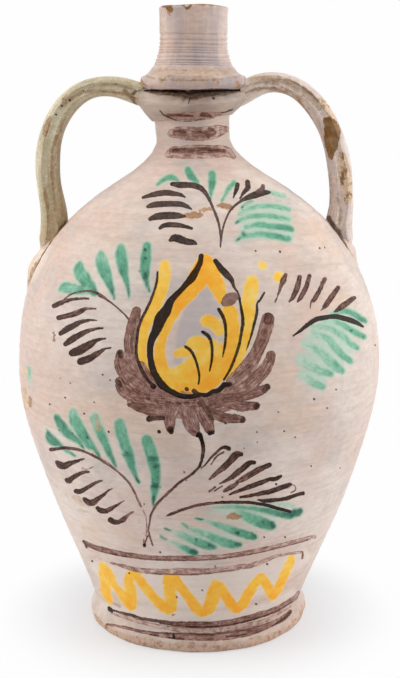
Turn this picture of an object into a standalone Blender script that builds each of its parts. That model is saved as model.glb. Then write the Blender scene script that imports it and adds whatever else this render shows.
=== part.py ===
"""Two-handled earthenware oil jar, built from the pieces that a potter lutes together.

Metres, +Z up. The origin is on the floor, on the axis of the belly. The handles lie in the XZ plane,
the painted front faces -Y. Each piece is its own closed solid, and the slip in every joint is a
clearance of SLIP between the two faces.
"""

import math
from typing import NamedTuple

import bmesh
import bpy
from mathutils import Vector
from mathutils.geometry import interpolate_bezier

SLIP = 0.0003  # gap that the slip fills in every luted joint
BODY_STEPS = 54  # facets round the body and the foot
NECK_STEPS = 36  # facets round the neck, the spout and the band

# Foot ring
FOOT_RADIUS = 0.0836  # edge that stands on the floor
FOOT_SWELL = 0.0024  # how far the coil bulges past that edge
FOOT_HEIGHT = 0.0140
FOOT_BORE_RADIUS = 0.0650
FOOT_RIM_ROUND = 0.0016
FOOT_COIL = ((0.45, 0.70), (0.88, 0.48), (1.0, 0.30), (0.75, 0.10))  # (share of bulge, share of height)
RECESS_DEPTH = 0.0060  # from the floor up to the underside of the body
SEAT_WIDTH = 0.0070  # ledge in the ring that carries the body's floor

# Body
WAIST_RADIUS = 0.0826  # just above the foot ring
WAIST_RISE = 0.0210  # how far the wall runs nearly upright from there
BELLY_RADIUS = 0.1386
BELLY_HEIGHT = 0.2040
BELLY_FULLNESS_LOW = 0.0710
BELLY_FULLNESS_HIGH = 0.0800
WALL = 0.0080
FLOOR_THICKNESS = 0.0100
FLOOR_FILLET = 0.0160
FILLET_ARM = 0.4  # arm of the fillet's curve, as a share of its size
BELLY_GROOVE_DEPTH = 0.0025  # depth of the V in the belly seam

# Shoulder and neck
ROOT_RADIUS = 0.0563  # where the neck is luted on
ROOT_RISE = 0.1409  # from the belly seam up to the neck's root
ROOT_SLOPE = math.radians(58.8)  # between the shoulder's line and the vertical
SHOULDER_FULLNESS = 0.0506
ROOT_SWEEP = 0.0228
LAP_LENGTH = 0.0030
NECK_WALL = 0.0070
NECK_RADIUS = 0.0278
NECK_RISE = 0.0296  # from the root up to the waist of the throat
NECK_SWEEP = 0.0076
LIP_RADIUS = 0.0296
LIP_RISE = 0.0345  # from the waist of the throat up to the lip
LIP_SWEEP = 0.0120

# Spout
TUBE_RADIUS = 0.0249
TUBE_WALL = 0.0055
SPOUT_RISE = 0.0610  # from the neck's lip up to the rim
RIM_FLARE = 0.0006
RIM_ROUND = 0.0016
RIM_NECKING = 0.0064  # from the top of the rim down to the plain tube
RIM_CHAMFER = 0.0050
SKIRT_HEIGHT = 0.0270  # from the collar's upper edge to the plain tube
SKIRT_SWEEP = 0.0095
SKIRT_CLIMB = 0.0027
COLLAR_RADIUS = 0.0394
COLLAR_EDGE = 0.0060
COLLAR_ROUND = 0.0012
COLLAR_UNDERCUT = 0.0040  # from the collar's seat up to the lower edge of its rim
COLLAR_SEAT_RADIUS = 0.0335
SPIGOT_LENGTH = 0.0125
SPIGOT_WALL = 0.0045
RIDGE_COUNT = 10
RIDGE_FOOT = 0.0082  # lowest ridge above the collar's upper edge
RIDGE_PITCH = 0.0026
RIDGE_DEPTH = 0.0005

# How far the thrown pieces stand off the belly's axis, towards -X
FOOT_DRIFT = 0.0008
BOWL_DRIFT = 0.0002
SHOULDER_DRIFT = 0.0013
NECK_DRIFT = 0.0052
SPOUT_DRIFT = 0.0040
BOWL_LEAN_HEIGHT = 0.0600
DRIFT_ROWS = 60

# Clay band round the neck
BAND_REACH = 0.0420  # at the handles
BAND_FRONT = 0.0345  # at the front and back
BAND_HEIGHT = 0.0175
BAND_FOOT_REACH = 0.0305  # lower edge at the handles
BAND_FOOT_FRONT = 0.0306
BAND_SECTION = ((1.0, 0.85), (1.0, 0.66), (0.5, 0.34), (0.1, 0.10))  # (share of reach, share of height)
BAND_CORNER = 0.2  # rounding of its upper corner, as a share of its reach
BAND_DIP = 0.0050  # how far its upper edge drops at the front and back
BAND_TILT = 0.0050  # its lower edge is deeper by this at the left handle

# Handles
GRIP_SIDES = 14
GRIP_STEPS = 8  # sections between two knots of a handle's line
GRIP_GROOVE = 0.0013
GROOVE_SPAN = 0.31  # half of the groove's width, as a share of half the strap's thickness
STRAP_CROWN = 0.85  # 1 is an oval strap, lower is squarer
STRAP_CHEEK = 0.80
ROOT_THICKNESS = 0.0170
ROOT_WIDTH = 0.0250
CROWN_THICKNESS = 0.0147
CROWN_WIDTH = 0.0235
SIDE_THICKNESS = 0.0178
SIDE_WIDTH = 0.0250
FOOT_THICKNESS = 0.0200
FOOT_WIDTH = 0.0290
TIP_THICKNESS = 0.0070
TIP_WIDTH = 0.0110
TIP_SINK = 0.6  # how deep the tip's middle lies in the body, as a share of its thickness
ROOT_BURY = 0.0060  # how far a handle's line starts inside the band
KNOT_ARM = 0.4  # arm of the line at a knot, as a share of the run to the next one

LEFT_ROOT_DROP = 0.0034  # start of its middle line below the neck's lip
LEFT_ROOT_CLIMB = math.radians(17.0)
LEFT_CROWN_OUT = 0.0230  # from the band's side to the top of the arch
LEFT_CROWN_RISE = 0.0030  # top of the middle line above the neck's lip
LEFT_CROWN_ROUND = 0.64  # arm of the arch, as a share of its run out to the widest place
LEFT_SIDE_ROUND = 0.56
LEFT_INSET = 0.0246  # from the belly's side in to the handle's widest place
LEFT_SIDE_DROP = 0.0590  # its widest place below the neck's lip
LEFT_FOOT_DROP = 0.0449  # where it meets the shoulder, below the neck's root
LEFT_TIP_DROP = 0.0200  # from its foot down to its tip

RIGHT_ROOT_DROP = 0.0020
RIGHT_ROOT_CLIMB = math.radians(28.0)
RIGHT_CROWN_OUT = 0.0175
RIGHT_CROWN_RISE = 0.0060
RIGHT_CROWN_ROUND = 0.64
RIGHT_SIDE_ROUND = 0.50
RIGHT_INSET = 0.0305
RIGHT_SIDE_DROP = 0.0820
RIGHT_FOOT_DROP = 0.0429
RIGHT_TIP_DROP = 0.0180

# Wads under the handles' feet
PAD_SIDES = 14
PAD_STEPS = 12
PAD_ROOT = 0.0060  # how deep a wad's section reaches under the body's outside before it is cut
PAD_OVERLAP = 0.0030  # how far a wad climbs above the foot of its handle
PAD_HOLLOW = 0.75  # height of a wad beside the handle's foot, as a share of its highest place
PAD_CREST = 0.60  # highest place of a wad, as a share of its length from the top
PAD_TAPER = 0.30  # width of a wad's lower end, as a share of its width
LEFT_PAD_WIDTH = 0.0380
LEFT_PAD_PROUD = 0.0046
LEFT_PAD_FALL = 0.0240  # from the handle's tip down to the wad's end
RIGHT_PAD_WIDTH = 0.0370
RIGHT_PAD_PROUD = 0.0036
RIGHT_PAD_FALL = 0.0050


class Course(NamedTuple):
    """How a handle runs on one side of the jar: side is -1 for the left one and 1 for the right one."""

    side: float
    root_drop: float
    climb: float
    crown_out: float
    crown_rise: float
    crown_round: float
    side_round: float
    inset: float
    side_drop: float
    foot_drop: float
    tip_drop: float


LEFT = Course(
    -1.0,
    LEFT_ROOT_DROP,
    LEFT_ROOT_CLIMB,
    LEFT_CROWN_OUT,
    LEFT_CROWN_RISE,
    LEFT_CROWN_ROUND,
    LEFT_SIDE_ROUND,
    LEFT_INSET,
    LEFT_SIDE_DROP,
    LEFT_FOOT_DROP,
    LEFT_TIP_DROP,
)
RIGHT = Course(
    1.0,
    RIGHT_ROOT_DROP,
    RIGHT_ROOT_CLIMB,
    RIGHT_CROWN_OUT,
    RIGHT_CROWN_RISE,
    RIGHT_CROWN_ROUND,
    RIGHT_SIDE_ROUND,
    RIGHT_INSET,
    RIGHT_SIDE_DROP,
    RIGHT_FOOT_DROP,
    RIGHT_TIP_DROP,
)


def clear_scene():
    for item in list(bpy.data.objects):
        bpy.data.objects.remove(item, do_unlink=True)


def new_collection(name):
    group = bpy.data.collections.new(name)
    bpy.context.scene.collection.children.link(group)
    return group


def glaze(name, colour, roughness):
    material = bpy.data.materials.new(name)
    material.use_nodes = True
    shader = material.node_tree.nodes["Principled BSDF"]
    shader.inputs["Base Color"].default_value = (*colour, 1.0)
    shader.inputs["Roughness"].default_value = roughness
    shader.inputs["Metallic"].default_value = 0.0
    material.diffuse_color = (*colour, 1.0)
    return material


def smoothstep(low, high, value):
    share = min(max((value - low) / (high - low), 0.0), 1.0)
    return share * share * (3.0 - 2.0 * share)


def direction(angle):
    """Unit vector in the profile plane that leans by angle from the vertical towards the axis."""
    return Vector((-math.sin(angle), math.cos(angle)))


def bezier(start, start_arm, end_arm, end, count):
    """Points of one cubic curve in the profile plane (radius, height), ends included."""
    knots = [Vector((p[0], 0.0, p[1])) for p in (start, start_arm, end_arm, end)]
    return [Vector((p.x, p.z)) for p in interpolate_bezier(*knots, count)]


def shifted(points, distances):
    """The same line with each point moved towards its left, as seen along its run."""
    moved = []
    for index, (point, distance) in enumerate(zip(points, distances)):
        ahead = points[min(index + 1, len(points) - 1)]
        behind = points[max(index - 1, 0)]
        run = (ahead - behind).normalized()
        moved.append(point + distance * Vector((-run.y, run.x)))
    return moved


UP = direction(0.0)
ROOT_RUN = direction(ROOT_SLOPE)
ROOT_OUT = Vector((math.cos(ROOT_SLOPE), math.sin(ROOT_SLOPE)))
ROOT_HEIGHT = BELLY_HEIGHT + ROOT_RISE
NECK_HEIGHT = ROOT_HEIGHT + NECK_RISE
LIP_HEIGHT = NECK_HEIGHT + LIP_RISE
TUBE_TOP = LIP_HEIGHT + SPOUT_RISE
WAIST = Vector((WAIST_RADIUS, FOOT_HEIGHT + SLIP))
BELLY = Vector((BELLY_RADIUS, BELLY_HEIGHT))
ROOT = Vector((ROOT_RADIUS, ROOT_HEIGHT))
THROAT = Vector((NECK_RADIUS, NECK_HEIGHT))
LIP = Vector((LIP_RADIUS, LIP_HEIGHT))
BORE_RADIUS = NECK_RADIUS - NECK_WALL
SOCKET_RADIUS = TUBE_RADIUS - TUBE_WALL + SPIGOT_WALL + SLIP
COLLAR_SEAT = LIP_HEIGHT + SLIP
COLLAR_TOP = COLLAR_SEAT + COLLAR_UNDERCUT + COLLAR_EDGE


def lower_line(count=11):
    """Outside of the body from the waist up to the belly."""
    return bezier(WAIST, WAIST + UP * WAIST_RISE, BELLY - UP * BELLY_FULLNESS_LOW, BELLY, count)


def upper_line(count=11):
    """Outside of the body from the belly up to the neck's root."""
    arm = ROOT - ROOT_RUN * SHOULDER_FULLNESS
    return bezier(BELLY, BELLY + UP * BELLY_FULLNESS_HIGH, arm, ROOT, count)


def neck_line(count=7):
    """Outside of the neck from its root to the waist of the throat."""
    return bezier(ROOT, ROOT + ROOT_RUN * ROOT_SWEEP, THROAT - UP * NECK_SWEEP, THROAT, count)


def lip_line(count=5):
    """Outside of the neck from the throat up to its lip."""
    return bezier(THROAT, THROAT + UP * LIP_SWEEP, LIP - UP * LIP_SWEEP, LIP, count)


def thrown_wall():
    """Outside and inside of the wall as three pairs of lines: lower body, upper body and neck."""
    low, high, throat = lower_line(), upper_line(), neck_line()
    outside = low + high[1:] + throat[1:]
    belly = len(low) - 1
    root = belly + len(high) - 1
    thinning = [min(max((i - belly) / (root - belly), 0.0), 1.0) for i in range(len(outside))]
    inside = shifted(outside, [WALL + (NECK_WALL - WALL) * share for share in thinning])
    spans = ((0, belly + 1), (belly, root + 1), (root, len(outside)))
    return [(outside[start:end], inside[start:end]) for start, end in spans]


def point_at(line, height):
    """Point at a height on a line that climbs."""
    for below, above in zip(line, line[1:]):
        if above.y >= height:
            share = (height - below.y) / (above.y - below.y)
            return below.lerp(above, max(share, 0.0))
    return line[-1]


def outside_at(height):
    """Point of the body's outside at a height between the waist and the neck's root."""
    return point_at(lower_line(60) + upper_line(90)[1:], height)


def drift(height):
    """Place of the axis along X at a height, as a smooth line through the measured places."""
    places = [
        (FOOT_HEIGHT, FOOT_DRIFT),
        (BOWL_LEAN_HEIGHT, BOWL_DRIFT),
        (BELLY_HEIGHT, 0.0),
        (0.5 * (BELLY_HEIGHT + LIP_HEIGHT), SHOULDER_DRIFT),
        (ROOT_HEIGHT - NECK_WALL, SHOULDER_DRIFT),
        (0.5 * (NECK_HEIGHT + LIP_HEIGHT), NECK_DRIFT),
        (COLLAR_TOP, SPOUT_DRIFT),
    ]
    place = places[0][1]
    for (low, start), (high, end) in zip(places, places[1:]):
        place += (end - start) * smoothstep(low, high, height)
    return -place


def drift_cage():
    """Lattice that moves the thrown pieces off the belly's axis."""
    cage = bpy.data.lattices.new("throwing_drift")
    cage.points_u = 2
    cage.points_v = 2
    cage.points_w = DRIFT_ROWS
    helper = bpy.data.objects.new("throwing_drift", cage)
    CUTTERS.objects.link(helper)
    width = 4.0 * BELLY_RADIUS
    row_height = TUBE_TOP / (DRIFT_ROWS - 1)
    helper.scale = (width, width, row_height)
    helper.location.z = 0.5 * TUBE_TOP
    helper.hide_render = True
    for point in cage.points:
        height = helper.location.z + row_height * point.co.z
        point.co_deform.x = point.co.x + drift(height) / width
    return helper


def turned(name, outline, steps, closed=True):
    """A piece thrown on the wheel: its outline runs down the outside and is spun round the axis."""
    mesh = bpy.data.meshes.new(name)
    count = len(outline)
    edges = [(i, (i + 1) % count) for i in range(count if closed else count - 1)]
    mesh.from_pydata([(p[0], 0.0, p[1]) for p in outline], edges, [])
    piece = bpy.data.objects.new(name, mesh)
    screw = piece.modifiers.new("wheel", "SCREW")
    screw.steps = screw.render_steps = steps
    screw.use_merge_vertices = True
    screw.merge_threshold = 0.00001
    lean = piece.modifiers.new("drift", "LATTICE")
    lean.object = DRIFT
    return piece


def as_part(piece, material):
    JAR.objects.link(piece)
    piece.data.materials.append(material)
    return piece


def as_cutter(piece):
    CUTTERS.objects.link(piece)
    piece.hide_render = True
    piece.display_type = "WIRE"
    return piece


def cut(piece, cutter):
    seat = piece.modifiers.new("seat_on_" + cutter.name, "BOOLEAN")
    seat.operation = "DIFFERENCE"
    seat.solver = "EXACT"
    seat.object = cutter


def shade_round(piece):
    piece.data.shade_smooth()
    piece.data.set_sharp_from_angle(angle=math.radians(40.0))


def build_foot_ring():
    out = FOOT_RADIUS + FOOT_SWELL
    seat = RECESS_DEPTH - SLIP
    shoulder = FOOT_BORE_RADIUS + SEAT_WIDTH
    outline = [
        (shoulder, FOOT_HEIGHT),
        (WAIST_RADIUS - 0.5 * FOOT_RIM_ROUND, FOOT_HEIGHT),
        (WAIST_RADIUS + 0.2 * FOOT_RIM_ROUND, FOOT_HEIGHT - 0.5 * FOOT_RIM_ROUND),
        *((WAIST_RADIUS + bulge * (out - WAIST_RADIUS), rise * FOOT_HEIGHT) for bulge, rise in FOOT_COIL),
        (FOOT_RADIUS, 0.0),
        (FOOT_BORE_RADIUS + FOOT_RIM_ROUND, 0.0),
        (FOOT_BORE_RADIUS, FOOT_RIM_ROUND),
        (FOOT_BORE_RADIUS, seat),
        (shoulder, seat),
    ]
    return turned("foot_ring", outline, BODY_STEPS)


def build_lower_body():
    outside, inside = thrown_wall()[0]
    floor_top = RECESS_DEPTH + FLOOR_THICKNESS
    wall_start = [p for p in inside[::2] if p.y > floor_top + FLOOR_FILLET]
    corner = Vector((wall_start[0].x - 0.25 * FLOOR_FILLET, floor_top))
    fillet = bezier(
        corner - Vector((FLOOR_FILLET, 0.0)),
        corner - Vector((FILLET_ARM * FLOOR_FILLET, 0.0)),
        wall_start[0] - FILLET_ARM * (wall_start[1] - wall_start[0]),
        wall_start[0],
        5,
    )
    groove = BELLY - Vector((0.5 * WALL, BELLY_GROOVE_DEPTH))
    spigot = FOOT_BORE_RADIUS + SEAT_WIDTH - SLIP
    outline = [Vector((0.0, floor_top))] + fillet + wall_start[1:] + [groove]
    outline += outside[::-1]
    outline += [
        Vector((spigot, FOOT_HEIGHT + SLIP)),
        Vector((spigot, RECESS_DEPTH)),
        Vector((0.0, RECESS_DEPTH)),
    ]
    return turned("lower_body", outline, BODY_STEPS, closed=False)


def lap_line(slip):
    """Stepped joint at the neck's root, from the outside to the inside of the wall."""
    half = 0.5 * NECK_WALL
    rise = ROOT_RUN * slip
    riser = ROOT - ROOT_OUT * (half - slip)
    inner = ROOT - ROOT_OUT * NECK_WALL + ROOT_RUN * LAP_LENGTH
    return [ROOT + rise, riser + rise, riser + ROOT_RUN * LAP_LENGTH + rise, inner + rise]


def build_upper_body():
    outside, inside = thrown_wall()[1]
    lift = UP * SLIP
    tongue = BELLY - Vector((0.5 * WALL, BELLY_GROOVE_DEPTH)) + lift
    outline = lap_line(0.0)[::-1]
    outline += outside[-2:0:-1] + [outside[0] + lift, tongue, inside[0] + lift] + inside[2:-1:2]
    return turned("upper_body", outline, BODY_STEPS)


def build_neck():
    throat, inside = thrown_wall()[2]
    outside = throat + lip_line()[1:]
    socket_floor = LIP_HEIGHT - SPIGOT_LENGTH - SLIP
    root = lap_line(SLIP)
    outline = [Vector((SOCKET_RADIUS, LIP_HEIGHT))] + outside[:0:-1] + root
    outline += [p for p in inside[1:-1] if p.x > BORE_RADIUS and p.y > root[-1].y + SLIP]
    outline += [
        Vector((BORE_RADIUS, NECK_HEIGHT)),
        Vector((BORE_RADIUS, socket_floor)),
        Vector((SOCKET_RADIUS, socket_floor)),
    ]
    return turned("neck", outline, NECK_STEPS)


def skirt_line():
    """Outside of the spout's skirt, from the plain tube down to the collar's upper edge."""
    top = Vector((TUBE_RADIUS, COLLAR_TOP + SKIRT_HEIGHT))
    foot = Vector((COLLAR_RADIUS - COLLAR_ROUND, COLLAR_TOP))
    return bezier(top, top - UP * SKIRT_SWEEP, foot + Vector((-SKIRT_SWEEP, SKIRT_CLIMB)), foot, 12)


def tube_line():
    """Outside of the spout from the rim down to the collar's seat, with its throwing ridges."""
    rim = TUBE_RADIUS + RIM_FLARE
    line = [
        Vector((rim - RIM_ROUND, TUBE_TOP)),
        Vector((rim - 0.3 * RIM_ROUND, TUBE_TOP - 0.3 * RIM_ROUND)),
        Vector((rim, TUBE_TOP - RIM_ROUND)),
        Vector((TUBE_RADIUS, TUBE_TOP - RIM_NECKING)),
    ]
    skirt = skirt_line()
    top_ridge = COLLAR_TOP + RIDGE_FOOT + (RIDGE_COUNT - 1) * RIDGE_PITCH
    for turn in range(2 * RIDGE_COUNT):
        height = top_ridge - 0.5 * turn * RIDGE_PITCH
        swell = RIDGE_DEPTH * (0.5 - turn % 2)
        line.append(Vector((point_at(skirt[::-1], height).x + swell, height)))
    line += [p for p in skirt if p.y < line[-1].y - 0.5 * RIDGE_PITCH]
    edge = [
        Vector((COLLAR_RADIUS, COLLAR_TOP - 0.3 * COLLAR_EDGE)),
        Vector((COLLAR_RADIUS - SLIP, COLLAR_SEAT + COLLAR_UNDERCUT)),
        Vector((0.5 * (COLLAR_RADIUS + COLLAR_SEAT_RADIUS), COLLAR_SEAT + 0.3 * COLLAR_UNDERCUT)),
        Vector((COLLAR_SEAT_RADIUS, COLLAR_SEAT)),
    ]
    return line + edge


def build_spout():
    bore = TUBE_RADIUS - TUBE_WALL
    spigot = bore + SPIGOT_WALL
    spigot_foot = COLLAR_SEAT - SPIGOT_LENGTH
    rim = TUBE_RADIUS + RIM_FLARE - RIM_ROUND
    outline = tube_line() + [
        Vector((spigot, COLLAR_SEAT)),
        Vector((spigot, spigot_foot)),
        Vector((bore, spigot_foot)),
        Vector((bore, TUBE_TOP - RIM_CHAMFER)),
        Vector((0.5 * (bore + rim), TUBE_TOP)),
    ]
    return turned("spout", outline, NECK_STEPS)


def body_envelope():
    """Solid of the body's and neck's outside, one slip larger, that seats what is luted on it."""
    outside = lower_line() + upper_line()[1:] + neck_line()[1:] + lip_line()[1:]
    skin = shifted(outside, [-SLIP] * len(outside))
    top = LIP_HEIGHT + COLLAR_UNDERCUT
    outline = [Vector((0.0, top)), Vector((skin[-1].x, top))] + skin[::-1] + [Vector((0.0, skin[0].y))]
    return turned("body_envelope", outline, BODY_STEPS, closed=False)


def spout_envelope():
    """Solid of the spout's outside, one slip larger, that a handle's root stops against."""
    line = [p + Vector((SLIP, 0.0)) for p in tube_line()]
    line[-1] = line[-1] - UP * SLIP
    line[-2] = line[-2] - UP * SLIP
    outline = [Vector((0.0, TUBE_TOP))] + line + [Vector((0.0, line[-1].y))]
    return turned("spout_envelope", outline, NECK_STEPS, closed=False)


def band_shape(name, inner, top, slip):
    """The clay band: a spun strip, pulled out to both handles and dipped at front and back."""
    foot = LIP_HEIGHT - BAND_HEIGHT
    foot_reach = BAND_FOOT_REACH + slip
    flare = BAND_REACH - BAND_FOOT_REACH
    corner = BAND_CORNER * flare
    outline = [
        (inner, top),
        (BAND_REACH - corner + slip, top),
        *((foot_reach + out * flare, foot + rise * BAND_HEIGHT) for out, rise in BAND_SECTION),
        (foot_reach - 0.5 * corner, foot - slip),
        (inner, foot - slip),
    ]
    spun = turned(name, outline, NECK_STEPS, closed=inner > 0.0)
    spun.modifiers.remove(spun.modifiers["drift"])
    strip = mesh_of(spun)
    for vertex in strip.data.vertices:
        press_band(vertex, foot, top)
    lean = strip.modifiers.new("drift", "LATTICE")
    lean.object = DRIFT
    return strip


def press_band(vertex, foot, top):
    """Moves one point of the round strip to where the potter's thumb pressed it."""
    place = vertex.co
    radius = math.hypot(place.x, place.y)
    if radius < BORE_RADIUS:
        return
    side = (place.x / radius) ** 2
    climb = smoothstep(foot, LIP_HEIGHT, place.z)
    front = BAND_FOOT_FRONT / BAND_FOOT_REACH * (1.0 - climb) + BAND_FRONT / BAND_REACH * climb
    pull = side + (1.0 - side) * front
    place.z -= BAND_DIP * climb * (1.0 - side)
    place.z -= BAND_TILT * (1.0 - climb) * 0.5 * (1.0 - place.x / radius)
    place.x *= pull
    place.y *= pull


def mesh_of(source):
    """A mesh object with the evaluated shape of a modified object, which it replaces."""
    name = source.name
    if not source.users_collection:
        CUTTERS.objects.link(source)
    bpy.context.view_layer.update()
    graph = bpy.context.evaluated_depsgraph_get()
    mesh = bpy.data.meshes.new_from_object(source.evaluated_get(graph))
    shape = bmesh.new()
    shape.from_mesh(mesh)
    bmesh.ops.remove_doubles(shape, verts=shape.verts, dist=0.00002)
    bmesh.ops.recalc_face_normals(shape, faces=shape.faces)
    shape.to_mesh(mesh)
    shape.free()
    source.name = name + "_line"
    solid = bpy.data.objects.new(name, mesh)
    solid.matrix_world = source.matrix_world
    bpy.data.objects.remove(source, do_unlink=True)
    return solid


def loft(name, rings):
    """Closed solid through rings that all have as many points, with a flat end at each side."""
    shape = bmesh.new()
    loops = [[shape.verts.new(place) for place in ring] for ring in rings]
    count = len(rings[0])
    for near, far in zip(loops, loops[1:]):
        for side in range(count):
            after = (side + 1) % count
            shape.faces.new((near[side], near[after], far[after], far[side]))
    shape.faces.new(loops[0][::-1])
    shape.faces.new(loops[-1])
    bmesh.ops.recalc_face_normals(shape, faces=shape.faces)
    mesh = bpy.data.meshes.new(name)
    shape.to_mesh(mesh)
    shape.free()
    return bpy.data.objects.new(name, mesh)


def grip_ring(thick, wide):
    """Rounded strap with a finger groove along its front and its back, as (outward, sideways) points."""
    ring = []
    for side in range(GRIP_SIDES):
        turn = 2.0 * math.pi * side / GRIP_SIDES
        along = math.sin(turn)
        across = math.cos(turn)
        groove = GRIP_GROOVE * max(0.0, 1.0 - (along / GROOVE_SPAN) ** 2)
        out = math.copysign(abs(along) ** STRAP_CROWN, along) * 0.5 * thick
        aside = math.copysign(abs(across) ** STRAP_CHEEK, across) * 0.5 * wide
        ring.append((out, aside - math.copysign(groove, across)))
    return ring


def middle_line(knots):
    """Stations (place, run, thickness, width) of a smooth line through a handle's knots."""
    stations = []
    for near, far in zip(knots, knots[1:]):
        arm_out = near[0] + near[1] * near[3]
        arm_in = far[0] - far[1] * far[2]
        places = interpolate_bezier(near[0], arm_out, arm_in, far[0], GRIP_STEPS + 1)
        for step, place in enumerate(places):
            share = smoothstep(0.0, 1.0, step / GRIP_STEPS)
            thick = near[4] + (far[4] - near[4]) * share
            wide = near[5] + (far[5] - near[5]) * share
            if step or not stations:
                stations.append((place, thick, wide))
    return stations


def handle_solid(name, knots, slip):
    """A handle lofted along its line; slip makes it larger all round."""
    stations = middle_line(knots)
    side = math.copysign(1.0, knots[-1][0].x)
    rings = []
    for index, (place, thick, wide) in enumerate(stations):
        ahead = stations[min(index + 1, len(stations) - 1)][0]
        behind = stations[max(index - 1, 0)][0]
        run = (ahead - behind).normalized()
        outward = side * Vector((-run.z, 0.0, run.x))
        ring = grip_ring(thick + 2.0 * slip, wide + 2.0 * slip)
        rings.append([place + outward * out + Vector((0.0, aside, 0.0)) for out, aside in ring])
    return loft(name, rings)


def surface_run(height, side):
    """Place on the body's outside at one side (-1 or 1), its downward run and its outward way."""
    here = outside_at(height)
    below = outside_at(height - 0.5 * WALL)
    run = Vector((side * (below.x - here.x), 0.0, below.y - here.y)).normalized()
    out = Vector((-side * run.z, 0.0, side * run.x))
    return Vector((side * here.x + drift(height), 0.0, here.y)), run, out


def handle_knots(course):
    """Knots (place, run, arm in, arm out, thickness, width) from the root in the band to the tip."""
    side = course.side
    root_height = LIP_HEIGHT - course.root_drop
    crown_height = LIP_HEIGHT + course.crown_rise
    root = Vector((side * (BAND_REACH - ROOT_BURY) + drift(root_height), 0.0, root_height))
    crown = Vector((side * (BAND_REACH + course.crown_out) + drift(LIP_HEIGHT), 0.0, crown_height))
    foot_height = ROOT_HEIGHT - course.foot_drop
    widest = Vector((side * (BELLY_RADIUS - course.inset), 0.0, LIP_HEIGHT - course.side_drop))
    foot, foot_run, _ = surface_run(foot_height, side)
    tip, tip_run, tip_out = surface_run(foot_height - course.tip_drop, side)
    across = Vector((side, 0.0, 0.0))
    down = Vector((0.0, 0.0, -1.0))
    root_way = Vector((side * math.cos(course.climb), 0.0, math.sin(course.climb)))
    root_arm = KNOT_ARM * course.crown_out
    crown_arm = course.crown_round * abs(widest.x - crown.x)
    side_arm = course.side_round * (crown.z - widest.z)
    fall_arm = KNOT_ARM * (widest.z - foot.z)
    slide_arm = KNOT_ARM * (foot - tip).length
    foot_way = (2.0 * down + foot_run).normalized()
    sunk_tip = tip - tip_out * TIP_SINK * TIP_THICKNESS
    return [
        (root, root_way, 0.0, root_arm, ROOT_THICKNESS, ROOT_WIDTH),
        (crown, across, root_arm, crown_arm, CROWN_THICKNESS, CROWN_WIDTH),
        (widest, down, side_arm, fall_arm, SIDE_THICKNESS, SIDE_WIDTH),
        (foot, foot_way, fall_arm, slide_arm, FOOT_THICKNESS, FOOT_WIDTH),
        (sunk_tip, tip_run, slide_arm, 0.0, TIP_THICKNESS, TIP_WIDTH),
    ]


def pad_solid(name, course, fall, width, proud):
    """A wad on the body: an oval that swells under the handle's foot and tapers down the belly."""
    foot_height = ROOT_HEIGHT - course.foot_drop
    top = foot_height + PAD_OVERLAP
    end_height = foot_height - course.tip_drop - fall
    rings = []
    for step in range(PAD_STEPS + 1):
        share = step / PAD_STEPS
        place, _, out = surface_run(top + (end_height - top) * share, course.side)
        rise = PAD_HOLLOW + (1.0 - PAD_HOLLOW) * smoothstep(0.5 * PAD_CREST, PAD_CREST, share)
        swell = rise * (1.0 - smoothstep(PAD_CREST, 1.0, share))
        half = 0.5 * width * (1.0 - (1.0 - PAD_TAPER) * smoothstep(0.5 * PAD_CREST, 1.0, share))
        ring = []
        for point in range(PAD_SIDES):
            turn = 2.0 * math.pi * point / PAD_SIDES
            height = math.sin(turn) * (proud * swell if math.sin(turn) > 0.0 else PAD_ROOT)
            ring.append(place + out * height + Vector((0.0, half * math.cos(turn), 0.0)))
        rings.append(ring)
    return loft(name, rings)


def build_handle(name, knots):
    handle = handle_solid(name, knots, 0.0)
    for seat in (BODY_SEAT, BAND_SEAT, SPOUT_SEAT):
        cut(handle, seat)
    return handle


def build_pad(name, course, fall, width, proud, knots):
    """A wad seated on the body and pressed round the foot of its handle."""
    pad = pad_solid(name, course, fall, width, proud)
    cut(pad, BODY_SEAT)
    cut(pad, as_cutter(handle_solid(name + "_handle_room", knots, SLIP)))
    return pad


clear_scene()
JAR = new_collection("oil_jar")
CUTTERS = new_collection("cutters")
DRIFT = drift_cage()

CREAM = glaze("cream_tin_glaze", (0.73, 0.63, 0.56), 0.42)
CREAM_WARM = glaze("cream_tin_glaze_upper", (0.75, 0.65, 0.58), 0.42)
PEACH = glaze("peach_tin_glaze", (0.74, 0.60, 0.50), 0.45)
OLIVE = glaze("olive_grey_glaze", (0.50, 0.47, 0.37), 0.45)
PINK_GREY = glaze("pink_grey_glaze", (0.58, 0.50, 0.47), 0.45)
BARE_CLAY = glaze("thin_glaze_over_clay", (0.62, 0.46, 0.34), 0.60)

BODY_SEAT = as_cutter(body_envelope())
SPOUT_SEAT = as_cutter(spout_envelope())
BAND_SEAT = as_cutter(band_shape("band_envelope", 0.0, COLLAR_SEAT + COLLAR_UNDERCUT, SLIP))

as_part(build_foot_ring(), BARE_CLAY)
as_part(build_lower_body(), CREAM)
as_part(build_upper_body(), CREAM_WARM)
as_part(build_neck(), CREAM_WARM)
as_part(build_spout(), PEACH)

neck_band = as_part(band_shape("neck_band", NECK_RADIUS - 0.5 * NECK_WALL, LIP_HEIGHT, 0.0), CREAM)
cut(neck_band, BODY_SEAT)

left_knots = handle_knots(LEFT)
right_knots = handle_knots(RIGHT)
left_pad = (LEFT, LEFT_PAD_FALL, LEFT_PAD_WIDTH, LEFT_PAD_PROUD, left_knots)
right_pad = (RIGHT, RIGHT_PAD_FALL, RIGHT_PAD_WIDTH, RIGHT_PAD_PROUD, right_knots)

as_part(build_handle("handle_left", left_knots), OLIVE)
as_part(build_handle("handle_right", right_knots), PINK_GREY)
as_part(build_pad("tail_pad_left", *left_pad), PEACH)
as_part(build_pad("tail_pad_right", *right_pad), CREAM)

for jar_piece in JAR.objects:
    shade_round(jar_piece)
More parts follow.
